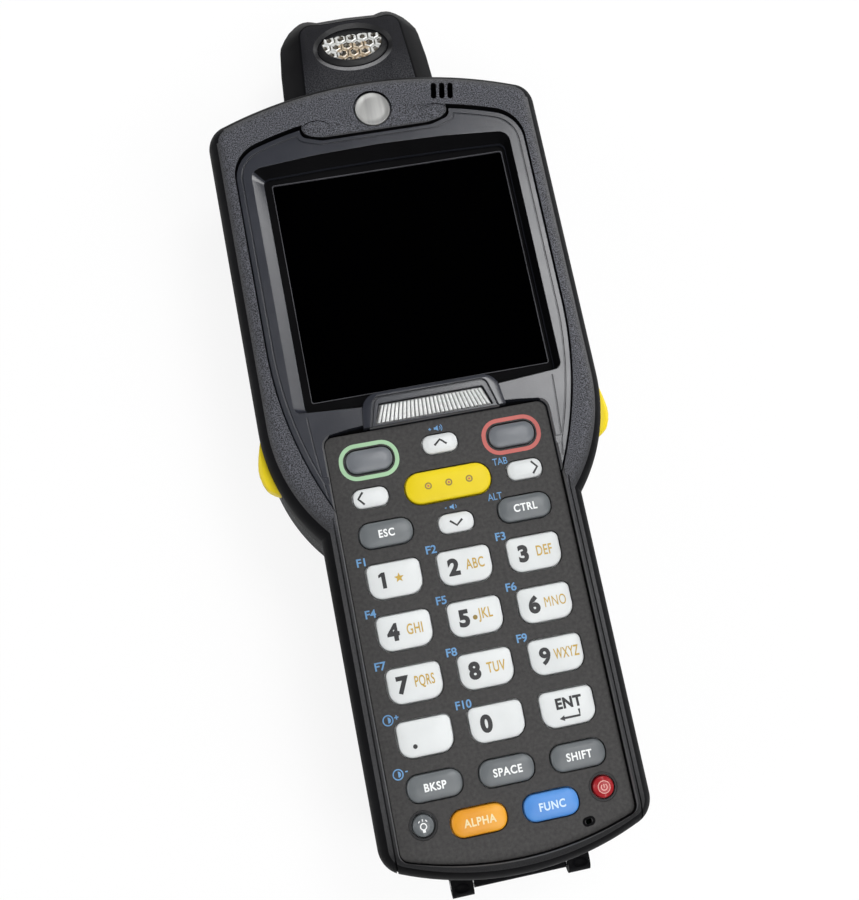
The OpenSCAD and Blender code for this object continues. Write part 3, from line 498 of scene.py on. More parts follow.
# near black: the real black frame on the glass, and painted shade on the recess walls and in the microphone
# hole
BLACK_AND_PAINTED_SHADE = plastic("ledge", (0.001, 0.001, 0.0015), (0.003, 0.003, 0.0035), 0.6, spec=0.05, edge=0)
EDGE = plastic("display_edge", (0.045, 0.045, 0.05), (0.08, 0.08, 0.09), 0.5, 900, 0.00002, 0.3,
               edge=0, spec=0.2)
WHITE_KEY = rubber("white", (0.62, 0.64, 0.64), (0.70, 0.72, 0.72), 0.42)
GREY_KEY = rubber("grey", (0.10, 0.11, 0.118), (0.135, 0.148, 0.155), 0.36, 0.00003, 0.3)
CALL_KEY = rubber("call", (0.11, 0.12, 0.135), (0.16, 0.17, 0.185), 0.34)
YELLOW_KEY = rubber("yellow", (0.72, 0.55, 0.003), (0.78, 0.61, 0.008), 0.45, spec=0.3)
ORANGE_KEY = rubber("orange", (0.70, 0.28, 0.006), (0.78, 0.35, 0.012), 0.4)
BLUE_KEY = rubber("blue", (0.055, 0.22, 0.60), (0.08, 0.28, 0.68), 0.4)
RED_KEY = rubber("red", (0.30, 0.008, 0.014), (0.44, 0.02, 0.025), 0.3)
INK_BLACK = ink("black", (0.012, 0.012, 0.014), (0.02, 0.02, 0.022))
INK_WHITE = ink("white", (0.80, 0.81, 0.81), (0.86, 0.87, 0.87))
INK_CREAM = ink("cream", (0.80, 0.66, 0.36), (0.88, 0.74, 0.44))
INK_SKY = ink("sky", (0.55, 0.70, 0.86), (0.64, 0.78, 0.92))
INK_PINK = ink("pink", (0.66, 0.30, 0.26), (0.74, 0.38, 0.33))
INK_ORANGE = ink("orange", (0.46, 0.30, 0.035), (0.56, 0.37, 0.06))
INK_OCHRE = ink("ochre", (0.22, 0.15, 0.03), (0.30, 0.21, 0.04))
INK_BLUE = ink("blue", (0.09, 0.24, 0.46), (0.13, 0.31, 0.56))
INK_GREEN = ink("green", (0.30, 0.50, 0.30), (0.38, 0.60, 0.37))
INK_RED = ink("red", (0.44, 0.085, 0.075), (0.52, 0.12, 0.10))
STEEL = plastic("steel", (0.42, 0.42, 0.43), (0.55, 0.55, 0.56), 0.32, 500, 0.00003, 0.4, metal=1.0)
BOARD = plastic("board", (0.01, 0.10, 0.04), (0.02, 0.15, 0.06), 0.4, 400, 0.00004, 0.5)
RUBBER = plastic("rubber", (0.008, 0.008, 0.008), (0.014, 0.014, 0.014), 0.75)
GLASS = display_glass()
RIBS = clear_lens("light_bar", (0.70, 0.71, 0.70), (0.92, 0.93, 0.92))
RIB_BASE = clear_lens("light_bar_base", (0.16, 0.16, 0.165), (0.30, 0.30, 0.305))
# the lens is clear: its bright faces are painted reflection and its dark cup centres painted shade
CRYSTAL = clear_lens("crystal", (0.62, 0.62, 0.58), (0.95, 0.96, 0.95), 0.06)
CRYSTAL_WARM = clear_lens("crystal_warm", (0.34, 0.22, 0.11), (0.86, 0.76, 0.60), 0.06)
CRYSTAL_SHADE = clear_lens("crystal_painted_shade", (0.004, 0.004, 0.004), (0.16, 0.14, 0.11), 0.08)
BADGE = brushed("badge", (0.30, 0.30, 0.295), (0.40, 0.40, 0.39))
WINDOW = clear_lens("exit_window", (0.05, 0.004, 0.006), (0.09, 0.008, 0.01), 0.08)
GOLD = brushed("contacts", (0.75, 0.5, 0.15), (0.9, 0.65, 0.25))


# ---- housings

def polygon_prism(points, z0, z1, name="cutter"):
    """A prism of a polygon given in any direction."""
    area = sum(a[0] * b[1] - b[0] * a[1] for a, b in zip(points, points[1:] + points[:1]))
    return prism(points if area > 0 else points[::-1], z0, z1, name)


def groove(path, width, z0, z1):
    """A cutter along an open path."""
    ribbon = line_mesh([path], width, "groove")
    points = [v.co for v in ribbon.data.vertices]
    bpy.data.objects.remove(ribbon)
    ring = [(p.x, p.y) for p in points[0::2]] + [(p.x, p.y) for p in points[1::2]][::-1]
    return polygon_prism(ring, z0, z1)


def front_form(inset, name="front"):
    """The front housing's form, or the one that lies inset under its skin."""
    rings = [at(outline(0.25 + inset), PARTING), at(outline(inset), PARTING + 0.25)]
    for a in range(0, 91, 6):
        turn = radians(a)
        z = BODY_H - inset - RIM_H * (1 - sin(turn))
        rings.append(at(outline(inset + RIM_W * (1 - cos(turn))), z))
    return loft(name, rings)


def tab_form():
    """The hood's tab under the badge, with rounded edges and a swelling at each end."""
    tab = layered("tab", tab_outline, [
        (0.1, BEZEL_SEAT - 1), (0.1, BODY_H - 0.55), (0.22, BODY_H - 0.25), (0.5, BODY_H - 0.05)])

    def swell(k):
        turns = [2 * pi * i / 28 for i in range(28)]
        return [(side * SWELL_X + 3.2 * k * cos(a), SWELL_Y + 1.9 * k * sin(a) + side * 0.5 * k * cos(a))
                for a in turns]
    layers = [(1.0, 39.6), (0.95, 40.3), (0.75, 40.5), (0.45, 40.57), (0.1, 40.59)]
    for side in (1, -1):
        fuse(tab, layered("swell", swell, layers))
    return tab


def slot_prism(x, y, lean, w, l, z0, z1):
    """A cutter for a slot with round ends, leaning by an angle."""
    points = rounded_box(w / 2, l / 2, w / 2 - 0.01)
    c, s = cos(radians(lean)), sin(radians(lean))
    return prism([(x + c * u + s * v, y - s * u + c * v) for u, v in points], z0, z1)


def front_housing():
    ob = front_form(0)
    cut(ob,
        prism(bezel_edge(GAP, 0.4), BEZEL_SEAT, BODY_H + 1),
        layered("panel", panel_outline, [
            (GAP, PANEL_SEAT), (GAP, 39.85), (0.55, 40.45), (0.6, BODY_H + 1)]))
    fuse(ob, tab_form())
    for side in (1, -1):
        turns = [radians(a) for a in range(15, 166, 10)]
        brow = [(side * SWELL_X + 3.3 * cos(a), SWELL_Y + 2 * sin(a)) for a in turns]
        cut(ob, groove(brow, 0.3, BODY_H - 0.3, BODY_H + 1))
    inner = front_form(0.3, "inner")
    for side in (1, -1):
        crease = block(*sorted((side * 25.62, side * 25.92)), -1, 79, 29, BODY_H + 1)
        cut(ob, cut(crease, linked("twin", inner.data.copy())))
    bpy.data.objects.remove(inner)
    cut(ob,
        prism(panel_outline(-1.2), DECK - 1, BODY_H),
        block(-28.75, 31.05, 100.2, 160.2, DECK - 1, BODY_H),
        prism(outline(WALL), PARTING - 1, DECK),
        zone(WALL - 1, PARTING - 1, PARTING + 2, REAR_L - 2.5, 185),
        zone(WALL, PARTING, BODY_H - 2.5, BODY_L - 8.5, 185),
        rod(BADGE_HOLE_R, BODY_H - 0.9, BODY_H + 2, 0, BADGE_Y, 64),
        block(-31, -25.8, 20.3, 26.3, 30, 31.8))
    for i in (-1, 0, 1):
        cut(ob, slot_prism(16.6 + 1.9 * i, 172.2 - 0.25 * i, 10, 1.25, 4.1, BODY_H - 4, BODY_H + 2))
    for side in (1, -1):
        x0, x1 = sorted((side * 27.2, side * 50))
        reach = BUTTON_L / 2 + 0.3
        cut(ob, block(x0, x1, BUTTON_Y - reach, BUTTON_Y + reach, PARTING - 1, 34.2))
    placed(ob, "front_shell", "housing", [HOUSING, SMOOTH, LIP_HIGHLIGHT], ["front_housing"])
    for face, x, y, z in faces_of(ob):
        face.material_index = 0 if face.normal.z > 0.8 and z > 38.4 else 1
    highlight_lip(ob, 2)


def highlight_lip(ob, slot):
    """Gives the chamfer round the keypad panel a lighter material, a painted highlight along its lit edge.
    """
    for face, x, y, z in faces_of(ob):
        inward = face.normal.x * x + face.normal.y * (y - 50) < 0
        beside_panel = abs(x) < 25.6 and y < 97.5 and z > 39.3
        if inward and beside_panel and 0.2 < face.normal.z < 0.95:
            face.material_index = slot


front_housing()


def rear_solid(name):
    quarter = [radians(a) for a in range(90, -1, -9)]
    rings = [at(outline(4.6 * (1 - cos(a))), 6 * (1 - sin(a))) for a in quarter]
    return loft(name, rings + [at(outline(), PARTING - 0.25), at(outline(0.25), PARTING)])


def end_smooth(ob):
    """The knuckles and the door's barrel are smooth."""
    for face, x, y, z in faces_of(ob):
        face.material_index = 1 if y < 1.8 and abs(x) < 15.3 and 21 < z < 27.1 else 0


def rear_housing():
    ob = rear_solid("rear")
    upper = zone(WALL, 22.2, PARTING + 1, 6, REAR_L - WALL)
    middle = cut(zone(WALL, 7, PARTING + 1, 18, REAR_L - WALL), block(-23.2, 23.2, 0, 89.4, 5, 30))
    deep = zone(WALL, WALL, 8, 104, REAR_L - WALL)
    end_zone = cut(block(-22.6, 22.6, -5, 12, -1, 20.6), prism(outline(2.6), -2, 22))
    latches = [block(x - 3.6, x + 3.6, y, 102.6, z, 4.35)
               for y, z in ((88.7, 2.6), (100, -1)) for x in LATCH_X]
    screws = [rod(2.3, -1, 21, s * x, y) for x, y in SCREW_SPOTS for s in (1, -1)]
    cut(ob, block(-50, 50, REAR_L, 190, -1, 30), upper, middle, deep,
        block(-21, 21, 8.6, 87.2, -1, 20),
        block(-7.15, 7.15, 78.05, 84.35, 19, 23),
        block(-22.6, 22.6, -5, 100.3, -1, 2.9), end_zone,
        block(-10.4, 10.4, -5, 3, 19.6, 26),
        *latches, *screws)
    for s in (1, -1):
        a, b = sorted((s * 10.4, s * 15.1))
        fuse(ob, x_rod(KNUCKLE_R, a, b, HINGE_Y, HINGE_H),
             block(a, b, HINGE_Y, 3, HINGE_H - KNUCKLE_R, HINGE_H + KNUCKLE_R))
        # a countersink round the pin's end and a shallow oval hollow in the front of the knuckle
        cut(ob, x_rod(1.5, *sorted((s * 14.4, s * 16)), HINGE_Y, HINGE_H),
            layered("hollow", lambda k: oval(3.5 * k, 2.5 * k, 28, s * 12.9, HINGE_Y - 0.75),
                    [(0.3, HINGE_H + 1.9), (0.75, HINGE_H + 2.15), (0.95, HINGE_H + 2.5),
                     (1.0, HINGE_H + 3.2)]))
    # grip lines across the back of the display end
    for i in range(7):
        cut(ob, x_rod(0.35, -16, 16, 112 + 4 * i, 0, 12))
    end_smooth(placed(ob, "rear_shell", "housing", [BACK, SMOOTH], ["rear_housing"]))


rear_housing()


def battery_door():
    ob = rear_solid("door")
    common(ob, block(-22.3, 22.3, -5, 100, 0.4, 20.3))
    cut(ob, zone(WALL, 2.6, 22, -5, 13), block(-30, 30, 12, 101, 2.6, 30))
    ring = [(0.2, 18.3), (2.2, 18.3), (2.2, 20.3), (HINGE_Y + 1.5, HINGE_H), (HINGE_Y - 1.5, HINGE_H)]
    tongue = loft("tongue", [[(x, y, z) for y, z in ring] for x in (-10.1, 10.1)])
    fuse(ob, tongue, x_rod(1.5, -10.1, 10.1, HINGE_Y, HINGE_H))
    for x in LATCH_X:
        cut(ob, block(x - 3.8, x + 3.8, 88.3, 96.9, 0, 1.6), block(x - 1.9, x + 1.9, 89.8, 95.2, 0, 3))
    # grip ribs across the door's free end
    for i in range(9):
        cut(ob, x_rod(0.28, -7, 7, 83.2 - 1.6 * i, 0.4, 12))
    end_smooth(placed(ob, "door_shell", "door", [BACK, SMOOTH], ["battery_door"]))


battery_door()


# ---- bezel, light bar and badge

# the recess at the bezel's face and at the glass (x, y, radius), and the lines beside the light bar
RECESS_RIM = [(-29.8, 102.8, 1.7), (-15.6, 101.8, 0), (15.6, 101.8, 0), (29.8, 102.8, 1.7),
              (29.8, 160.2, 2.6), (14.9, 161.4, 0), (0, 161.8, 0), (-14.9, 161.4, 0), (-29.8, 160.2, 2.6)]
RECESS_FLOOR = [(-25.75, 103.2, 0.8), (-15.6, 103.2, 0), (15.6, 103.2, 0), (28.05, 103.2, 0.8),
                (28.05, 157.2, 0.8), (14.5, 157.2, 0), (1, 157.2, 0), (-12.9, 157.2, 0),
                (-25.75, 157.2, 0.8)]
ARCH_GAP = [(14.4, 96.0), (14.4, 97.9), (18.7, 97.6), (23.3, 97.0), (24.7, 95.4), (24.6, 94.5)]
LEG_CREASE = [(27.3, 101.6), (26.95, 95), (26.4, 88.5), (25.75, 83.6)]


def arch_outline(half, top, r=3.8, lean=0.9):
    """An arched frame round the light bar, from the panel up."""
    foot = BAR_Y - 0.5
    return rounded([(half, foot, 0), (half - lean, top, r), (lean - half, top, r), (-half, foot, 0)], 8)


def bezel():
    ob = layered("bezel", bezel_edge, [
        (0, BEZEL_SEAT), (0, BEZEL_TOP - 0.3), (-0.08, BEZEL_TOP - 0.12), (-0.22, BEZEL_TOP)])
    cut(ob, layered("panel", panel_outline, [
        (GAP, BEZEL_SEAT - 1), (GAP, BEZEL_TOP - 0.5), (0.5, BEZEL_TOP + 0.02), (0.55, BEZEL_TOP + 1)]),
        prism(tab_outline(-0.3), 30, 50))
    # the thin lip along the bezel's edge and under the tab
    lip = cut(prism(bezel_edge(-1.25), BEZEL_TOP - 0.25, BEZEL_TOP + 1),
              prism(bezel_edge(-1.55), BEZEL_TOP - 1, BEZEL_TOP + 2),
              prism(tab_outline(-1.2), BEZEL_TOP - 1, BEZEL_TOP + 2))
    under = cut(prism(tab_outline(-1.35), BEZEL_TOP - 0.25, BEZEL_TOP + 1),
                prism(tab_outline(-1.05), BEZEL_TOP - 1, BEZEL_TOP + 2))
    cut(ob, lip, common(under, prism(bezel_edge(-1.4), 30, 50)))
    for side in (1, -1):
        gap = [(side * x, y) for x, y in ARCH_GAP]
        cut(ob, polygon_prism(gap, BEZEL_SEAT - 1, BEZEL_TOP + 1))
        crease = [(side * x, y) for x, y in LEG_CREASE]
        cut(ob, groove(crease, 0.28, BEZEL_TOP - 0.22, BEZEL_TOP + 1))
    opening, window = rounded(RECESS_RIM), rounded(RECESS_FLOOR)

    def between(t):
        return [(a[0] + (b[0] - a[0]) * t, a[1] + (b[1] - a[1]) * t) for a, b in zip(window, opening)]
    # the walls slope down to a ledge over the glass
    cut(ob, layered("recess", between, [
        (LEDGE, BEZEL_SEAT - 1), (LEDGE, 37.5), (0.93, 39.6), (1.0, BEZEL_TOP), (1.06, BEZEL_TOP + 1)]))
    fuse(ob, layered("arch", arch_outline, [
        (15.8, 104.4, BEZEL_TOP - 1.6), (15.8, 104.4, ARCH_TOP - 0.4), (15.7, 104.3, ARCH_TOP - 0.12),
        (15.45, 104.05, 3.6, ARCH_TOP)]))
    pocket = rounded([(13.15, 97.35, 0.3), (11.5, 101.95, 0.5), (-11.5, 101.95, 0.5), (-13.15, 97.35, 0.3)])
    cut(ob,
        cut(prism(arch_outline(14.2, 103.5, 1.7, 1.75), ARCH_TOP - 0.65, ARCH_TOP + 1),
            prism(arch_outline(13.85, 103.15, 1.5, 1.75), 38, 43)),
        prism(arch_outline(13.9, 103.2, 1.5, 1.75), ARCH_TOP - 0.25, ARCH_TOP + 1),
        polygon_prism(pocket, 38.2, 43))
    placed(ob, "bezel_shell", "housing", [BEZEL, BLACK_AND_PAINTED_SHADE, LIP_HIGHLIGHT], ["display_bezel"])
    # painted shade: the recess walls, all but the left one that faces the light, are near black
    for face, x, y, z in faces_of(ob):
        wall = abs(x) < 31 and 101.9 < y < 162.5 and 36.6 < z < BEZEL_TOP
        if wall and 0.1 < face.normal.z < 0.97 and face.normal.x < 0.5:
            face.material_index = 1
    highlight_lip(ob, 2)

    # the dark frame on the glass, with a thin bright edge round the picture
    hole = rounded([(28.0, 105.2, 0.5), (28.0, 157.1, 0.5), (-25.7, 157.1, 0.5), (-25.7, 105.2, 0.5)])
    band = prism(between(LEDGE + 0.02), 36.12, 36.5, "frame")
    cut(band, polygon_prism(hole, 35, 38))
    placed(band, "display_frame", "housing", BLACK_AND_PAINTED_SHADE, ["display_gasket"])
    edge = polygon_prism(hole, 36.14, 36.62, "edge")
    cut(edge, polygon_prism([(x * 0.994 + 0.01, 131 + (y - 131) * 0.994) for x, y in hole], 35, 38))
    placed(edge, "display_edge", "housing", EDGE)


bezel()


def light_bar():
    base = rounded([(-13, BAR_Y, 0.2), (13, BAR_Y, 0.2), (11.35, 101.8, 0.4), (-11.35, 101.8, 0.4)])
    placed(prism(base, 38.2, 39.2), "light_bar_base", "housing", RIB_BASE)
    parts = []
    count = 27
    for i in range(count):
        u = -1 + (2 * i + 1) / count
        ring = []
        for y, half in ((97.7, 12.75), (101.4, 11.25)):
            c, w = half * u, half / count * 0.86
            ring.append([(c + w * k, y, z) for k, z in (
                (-1, 39.0), (1, 39.0), (0.75, 39.95), (0, 40.25), (-0.75, 39.95))])
        parts.append(loft("rib", ring))
    placed(joined(*parts), "light_bar_lens", "housing", RIBS, ["light_bar"])


light_bar()


def badge():
    profile = [(3.95, 39.6), (4.02, 39.75), (4.02, 40.2), (3.9, 40.33), (3.6, 40.3), (3.45, 40.22),
               (2.5, 40.3), (1.2, 40.36), (0.02, 40.38)]
    plate = layered("badge", lambda r: oval(2 * r, 2 * r, 64, 0, BADGE_Y), profile)
    placed(plate, "badge_plate", "housing", BADGE, ["badge_disc"], 50)


badge()


# ---- keys

NUMBER = (11.4, 7.4, 1.4, 2.8)
FLAT = (11.5, 5.4, 2.4, 2.4)
ARROW = (7.6, 4.1, 1.8, 1.8)
SCAN = (18.7, 6.8, 3.2, 3.2)
CALL = (10.1, 5.0, 2.3, 2.3)
ROUND = (4.4, 4.4, 2.2, 2.2)

PITCH = 15.2
NUMBER_NAMES = ["1", "2", "3", "4", "5", "6", "7", "8", "9", "point", "0", "enter"]
# keys of one form and material, with the middle of each
GROUPS = [
    (FLAT, GREY_KEY, {"escape": (-PITCH, 74), "control": (PITCH, 74), "backspace": (-PITCH, 21.1),
                      "space": (0, 21.1), "shift": (PITCH, 21.1)}),
    (FLAT, ORANGE_KEY, {"alpha": (-7.6, 12.6)}),
    (FLAT, BLUE_KEY, {"func": (7.6, 12.6)}),
    (ROUND, GREY_KEY, {"light": (-19, 13.9)}),
    (ROUND, RED_KEY, {"power": (19, 13.9)}),
    (ARROW, WHITE_KEY, {"up": (0, 91.15), "down": (0, 73.5), "left": (-17, 82.15), "right": (17, 82.15)}),
    (SCAN, YELLOW_KEY, {"scan": (0, 82.15)}),
    (CALL, CALL_KEY, {"green": (-15.8, 90.25), "red": (15.8, 90.25)}),
    (NUMBER, WHITE_KEY, {name: ((i % 3 - 1) * PITCH, 64.05 - 11 * (i // 3))
                         for i, name in enumerate(NUMBER_NAMES)}),
]
KEYS = {"key_" + name: (*spot, kind, material)
        for kind, material, spots in GROUPS for name, spot in spots.items()}


def dome_height(u, v, kind):
    """Height of a key's face at u, v from its middle."""
    w, l = kind[0] / 2, kind[1] / 2
    return KEY_TOP - 0.02 - 0.42 * min(1.0, (u / w) ** 2 * 0.75 + (v / l) ** 2 * 0.75)


def key_cap(name, x, y, kind, material):
    """A key on its skirt and stem, with a rounded shoulder and a domed face."""
    rings = [at(key_outline(*kind), PANEL_SEAT - 0.3), at(key_outline(*kind), KEY_TOP - 0.95)]
    for inset, rise in ((0.04, 0.14), (0.15, 0.27), (0.32, 0.36), (0.5, 0.4)):
        last = key_outline(*kind, inset)
        rings.append([(u, v, min(KEY_TOP - 0.95 + rise * 1.25, dome_height(u, v, kind))) for u, v in last])
    for t in (0.86, 0.7, 0.5, 0.3, 0.12):
        rings.append([(u * t, v * t, dome_height(u * t, v * t, kind)) for u, v in last])
    ob = loft(name, rings)
    lip = prism(key_outline(*kind, -0.6), PANEL_SEAT - 0.6, PANEL_SEAT - 0.01, "lip")
    ob = joined(lip, rod(1.2, 35.15, PANEL_SEAT - 0.61, n=24), ob)
    placed(ob, name + "_cap", name, material, [name], 50, y, x)


for name, entry in KEYS.items():
    key_cap(name, *entry)


# ---- lettering

DIGIT_H, LETTER_H, WORD_H, F_H = 3.4, 2.2, 1.65, 1.75
F_UP = 4.75
CALL_RING = (13.1, 8.1, 3.8, 0.9)
LIFT = 0.03


def text_mesh(text, height, weight=0.0, spread=1.0):
    """Lettering as a flat mesh centred on the origin; height is that of a capital."""
    curve = bpy.data.curves.new("text", "FONT")
    curve.body = text
    curve.size = height / 0.73
    curve.offset = weight
    curve.space_character = spread
    curve.align_x = "CENTER"
    curve.align_y = "CENTER"
    curve.resolution_u = 5
    ob = linked("text", curve)
    me = finished_mesh(ob)
    bpy.data.objects.remove(ob)
    xs = [v.co.x for v in me.vertices]
    ys = [v.co.y for v in me.vertices]
    me.transform(Matrix.Translation((-(min(xs) + max(xs)) / 2, -(min(ys) + max(ys)) / 2, 0)))
    return linked("text", me)


def fine(ob, step):
    """Cuts a flat mesh along a grid, so that it can follow a curved face."""
    bm = bmesh.new()
    bm.from_mesh(ob.data)
    for axis in (0, 1):
        values = [v.co[axis] for v in bm.verts]
        place = min(values) // step * step + step
        while place < max(values):
            spot, normal = [0, 0, 0], [0, 0, 0]
            spot[axis], normal[axis] = place, 1
            everything = bm.verts[:] + bm.edges[:] + bm.faces[:]
            bmesh.ops.bisect_plane(bm, geom=everything, plane_co=spot, plane_no=normal)
            place += step
    bm.to_mesh(ob.data)
    bm.free()


marks = 0


def printed(ob, x, y, ink, key=None, angle=0.0, scale=(1, 1)):
    """Lays a flat mark on the keypad's face, or on a key's at x, y from the key's middle."""
    global marks
    marks += 1
    cx, cy, kind, material = KEYS[key] if key else (0, 0, None, None)
    ob.data.transform(Matrix.Translation((cx + x, cy + y, 0)) @ Matrix.Rotation(radians(angle), 4, "Z")
                      @ Matrix.Diagonal((*scale, 1, 1)))
    if key:
        fine(ob, 0.5)
    for v in ob.data.vertices:
        v.co.z = (dome_height(v.co.x - cx, v.co.y - cy, kind) if key else PANEL_TOP) + LIFT
    placed(ob, f"mark_{marks}", key or "housing", ink, (), 0)


def on_key(ob, key, dx, dy, ink, **more):
    printed(ob, dx, dy, ink, key, **more)


def rings_of(radius, width, name, low=0, high=360, n=24, y=0.0):
    return line_mesh([arc(0, y, radius, low, high, n)], width, name)


LETTERS = {"2": "ABC", "3": "DEF", "4": "GHI", "5": "JKL", "6": "MNO", "7": "PQRS", "8": "TUV", "9": "WXYZ"}
ONE = [(0.55, -1.7), (0.55, 1.7), (-0.15, 1.7), (-0.9, 1.25), (-0.9, 0.65), (-0.3, 0.9), (-0.3, -1.7)]
for digit in "123456789":
    key = "key_" + digit
    x, y = KEYS[key][:2]
    if digit == "1":
        glyph = flat_mesh([ONE], "one")
        glyph.data.flip_normals()
    else:
        # a heavier outline would close the loop of the 9
        glyph = text_mesh(digit, DIGIT_H, 0.19 if digit == "9" else 0.25)
    on_key(glyph, key, -2.5, 0.1, INK_BLACK)
    printed(text_mesh("F" + digit, F_H, 0.05), x - 6.4, y + F_UP, INK_BLUE, scale=(1.06, 1))
    if digit in LETTERS:
        group = LETTERS[digit]
        # a heavier outline would break the M
        glyphs = text_mesh(group, LETTER_H, 0.0 if "M" in group else 0.04, 1.08)
        on_key(glyphs, key, 2.1, 0.15, INK_ORANGE, scale=(0.57 if len(group) > 3 else 0.66, 1.03))
star = [(r * sin(pi * i / 5), r * cos(pi * i / 5)) for i, r in enumerate((1.1, 1.1 * 0.42) * 5)][::-1]
on_key(flat_mesh([star], "star"), "key_1", 0.9, 0.1, INK_ORANGE)
on_key(text_mesh("0", DIGIT_H, 0.25), "key_0", -2.3, 0.1, INK_BLACK)
x, y = KEYS["key_0"][:2]
printed(text_mesh("F10", F_H, 0.05), x - 6.1, y + F_UP, INK_BLUE)
on_key(flat_mesh([oval(0.95, 0.95, 20)], "point"), "key_point", -2.4, -1.5, INK_BLACK)
on_key(flat_mesh([oval(1.0, 1.0, 24)], "home_dot"), "key_5", -0.15, -0.1, INK_OCHRE)
on_key(text_mesh("ENT", LETTER_H, 0.13, 1.08), "key_enter", 0.3, 1.0, INK_BLACK, scale=(0.95, 1))
for mark in (line_mesh([[(2.2, 0.9), (2.2, -0.45), (-1.3, -0.45)]], 0.46, "return"),
             flat_mesh([[(-2.2, -0.45), (-1.1, -1.05), (-1.1, 0.15)]], "return_tip")):
    on_key(mark, "key_enter", -0.1, -1.6, INK_BLACK)
WORDS = {"escape": "ESC", "control": "CTRL", "backspace": "BKSP", "space": "SPACE", "shift": "SHIFT",
         "alpha": "ALPHA", "func": "FUNC"}
for name, word in WORDS.items():
    ink = {"alpha": INK_CREAM, "func": INK_SKY}.get(name, INK_WHITE)
    on_key(text_mesh(word, WORD_H, 0.065, 1.12), "key_" + name, 0.1, 0, ink, scale=(0.88, 1))
for name, angle, dx in (("up", 0, 0), ("down", 180, 0), ("left", 90, -2.0), ("right", -90, 2.0)):
    chevron = line_mesh([[(-1.35, -0.45), (0, 0.7), (1.35, -0.45)]], 0.46, "chevron")
    on_key(chevron, "key_" + name, dx, 0, INK_BLACK, angle=angle)
for dx in (-4.4, 0.1, 4.6):
    on_key(rings_of(0.62, 0.3, "dot_ring", n=28), "key_scan", dx, 0.1, INK_OCHRE)
    on_key(flat_mesh([oval(0.5, 0.5, 20)], "dot"), "key_scan", dx, 0.1, INK_RED)
for text, x, y in (("TAB", 12.1, 84.9), ("ALT", 9.4, 77.5)):
    printed(text_mesh(text, 1.6, 0.01), x, y, INK_BLUE, scale=(0.82, 1))
HORN = [(-0.75, -0.25), (-0.35, -0.25), (0.15, -0.65), (0.15, 0.65), (-0.35, 0.25), (-0.75, 0.25)]
for sign, y, radii in (("+", 94.6, (0.55, 0.95)), ("-", 77.0, (0.55,))):
    printed(text_mesh(sign, 0.9, 0.03), -1.55, y, INK_BLUE)
    printed(flat_mesh([HORN], "horn"), 0.1, y, INK_BLUE)
    printed(line_mesh([arc(0.1, 0, r, -45, 45, 6) for r in radii], 0.16, "waves"), 0.1, y, INK_BLUE)
for sign, y in (("+", 35.7), ("-", 24.7)):
    printed(rings_of(1.02, 0.26, "ring", n=32), -22.1, y, INK_BLUE)
    printed(flat_mesh([arc(0, 0, 0.62, -90, 90, 12)], "half"), -22.1, y, INK_BLUE)
    printed(text_mesh(sign, 1.2, 0.06), -20.3, y + 0.3, INK_BLUE)


def ring_mesh(w, l, r, band, name):
    """A flat band inside a rounded outline."""
    outer = key_outline(w, l, r, r)
    inner = key_outline(w, l, r, r, band)
    n = len(outer)
    faces = [(i, (i + 1) % n, n + (i + 1) % n, n + i) for i in range(n)]
    return new_mesh(name, at(outer, 0) + at(inner, 0), faces)


for name, ink in (("green", INK_GREEN), ("red", INK_RED)):
    printed(ring_mesh(*CALL_RING, name + "_ring"), *KEYS["key_" + name][:2], ink)
for mark in (rings_of(1.25, 0.16, "power_rim", n=36), rings_of(0.62, 0.2, "power_ring", 125, 415),
             line_mesh([[(0, -0.1), (0, 0.62)]], 0.2, "power_line")):
    on_key(mark, "key_power", 0, 0, INK_PINK)
RAYS = [[(-0.9, 0.75), (-0.6, 1.1)], [(0, 0.9), (0, 1.35)], [(0.9, 0.75), (0.6, 1.1)]]
for mark in (rings_of(0.62, 0.24, "bulb", y=-0.1),
             flat_mesh([[(-0.3, -1.3), (0.3, -1.3), (0.3, -0.75), (-0.3, -0.75)]], "bulb_foot"),
             line_mesh(RAYS, 0.2, "rays")):
    on_key(mark, "key_light", 0, 0, INK_WHITE)

# the microphone hole, a flat black ring as painted shade of the hole, and the dark wells round the two small
# keys
printed(ring_mesh(2.7, 1.9, 0.94, 0.5, "mic"), 14.6, 7.8, BLACK_AND_PAINTED_SHADE, angle=8)
for key in ("key_light", "key_power"):
    x, y = KEYS[key][:2]
    well = cut(prism(oval(6.0, 6.0, 48), PANEL_TOP - 0.49, PANEL_TOP - 0.1, "well"), rod(2.5, 30, 50))
    placed(well, key + "_well", "housing", DARK, (), 32, y, x)


# ---- scan head, about its axis

HEAD_R, HEAD_MID, HEAD_WALL = 18.7, 19, 1.8
# the far end's outline at full width and at the face, point for point
TIP_OUT = [(HEAD_R, 6), (18.75, 13), (18.75, 20.5), (18.3, 27.5), (17.5, 33.8), (17.15, 35.1), (16.0, 36.9),
           (14.6, 38.6), (13.0, 39.9), (11.6, 40.75), (10.6, 41.05), (9.3, 41.1), (8.3, 40.85), (7.2, 40.5),
           (0, 40.75)]
TIP_IN = [(14.1, 6), (14.05, 13), (13.5, 20.1), (13.0, 26.9), (12.5, 32.6), (12.35, 34.0), (12.0, 34.9),
          (11.5, 35.5), (11.0, 35.9), (10.4, 36.15), (9.9, 36.25), (9.2, 36.3), (8.4, 36.2), (7.2, 36.1),
          (0, 36.3)]


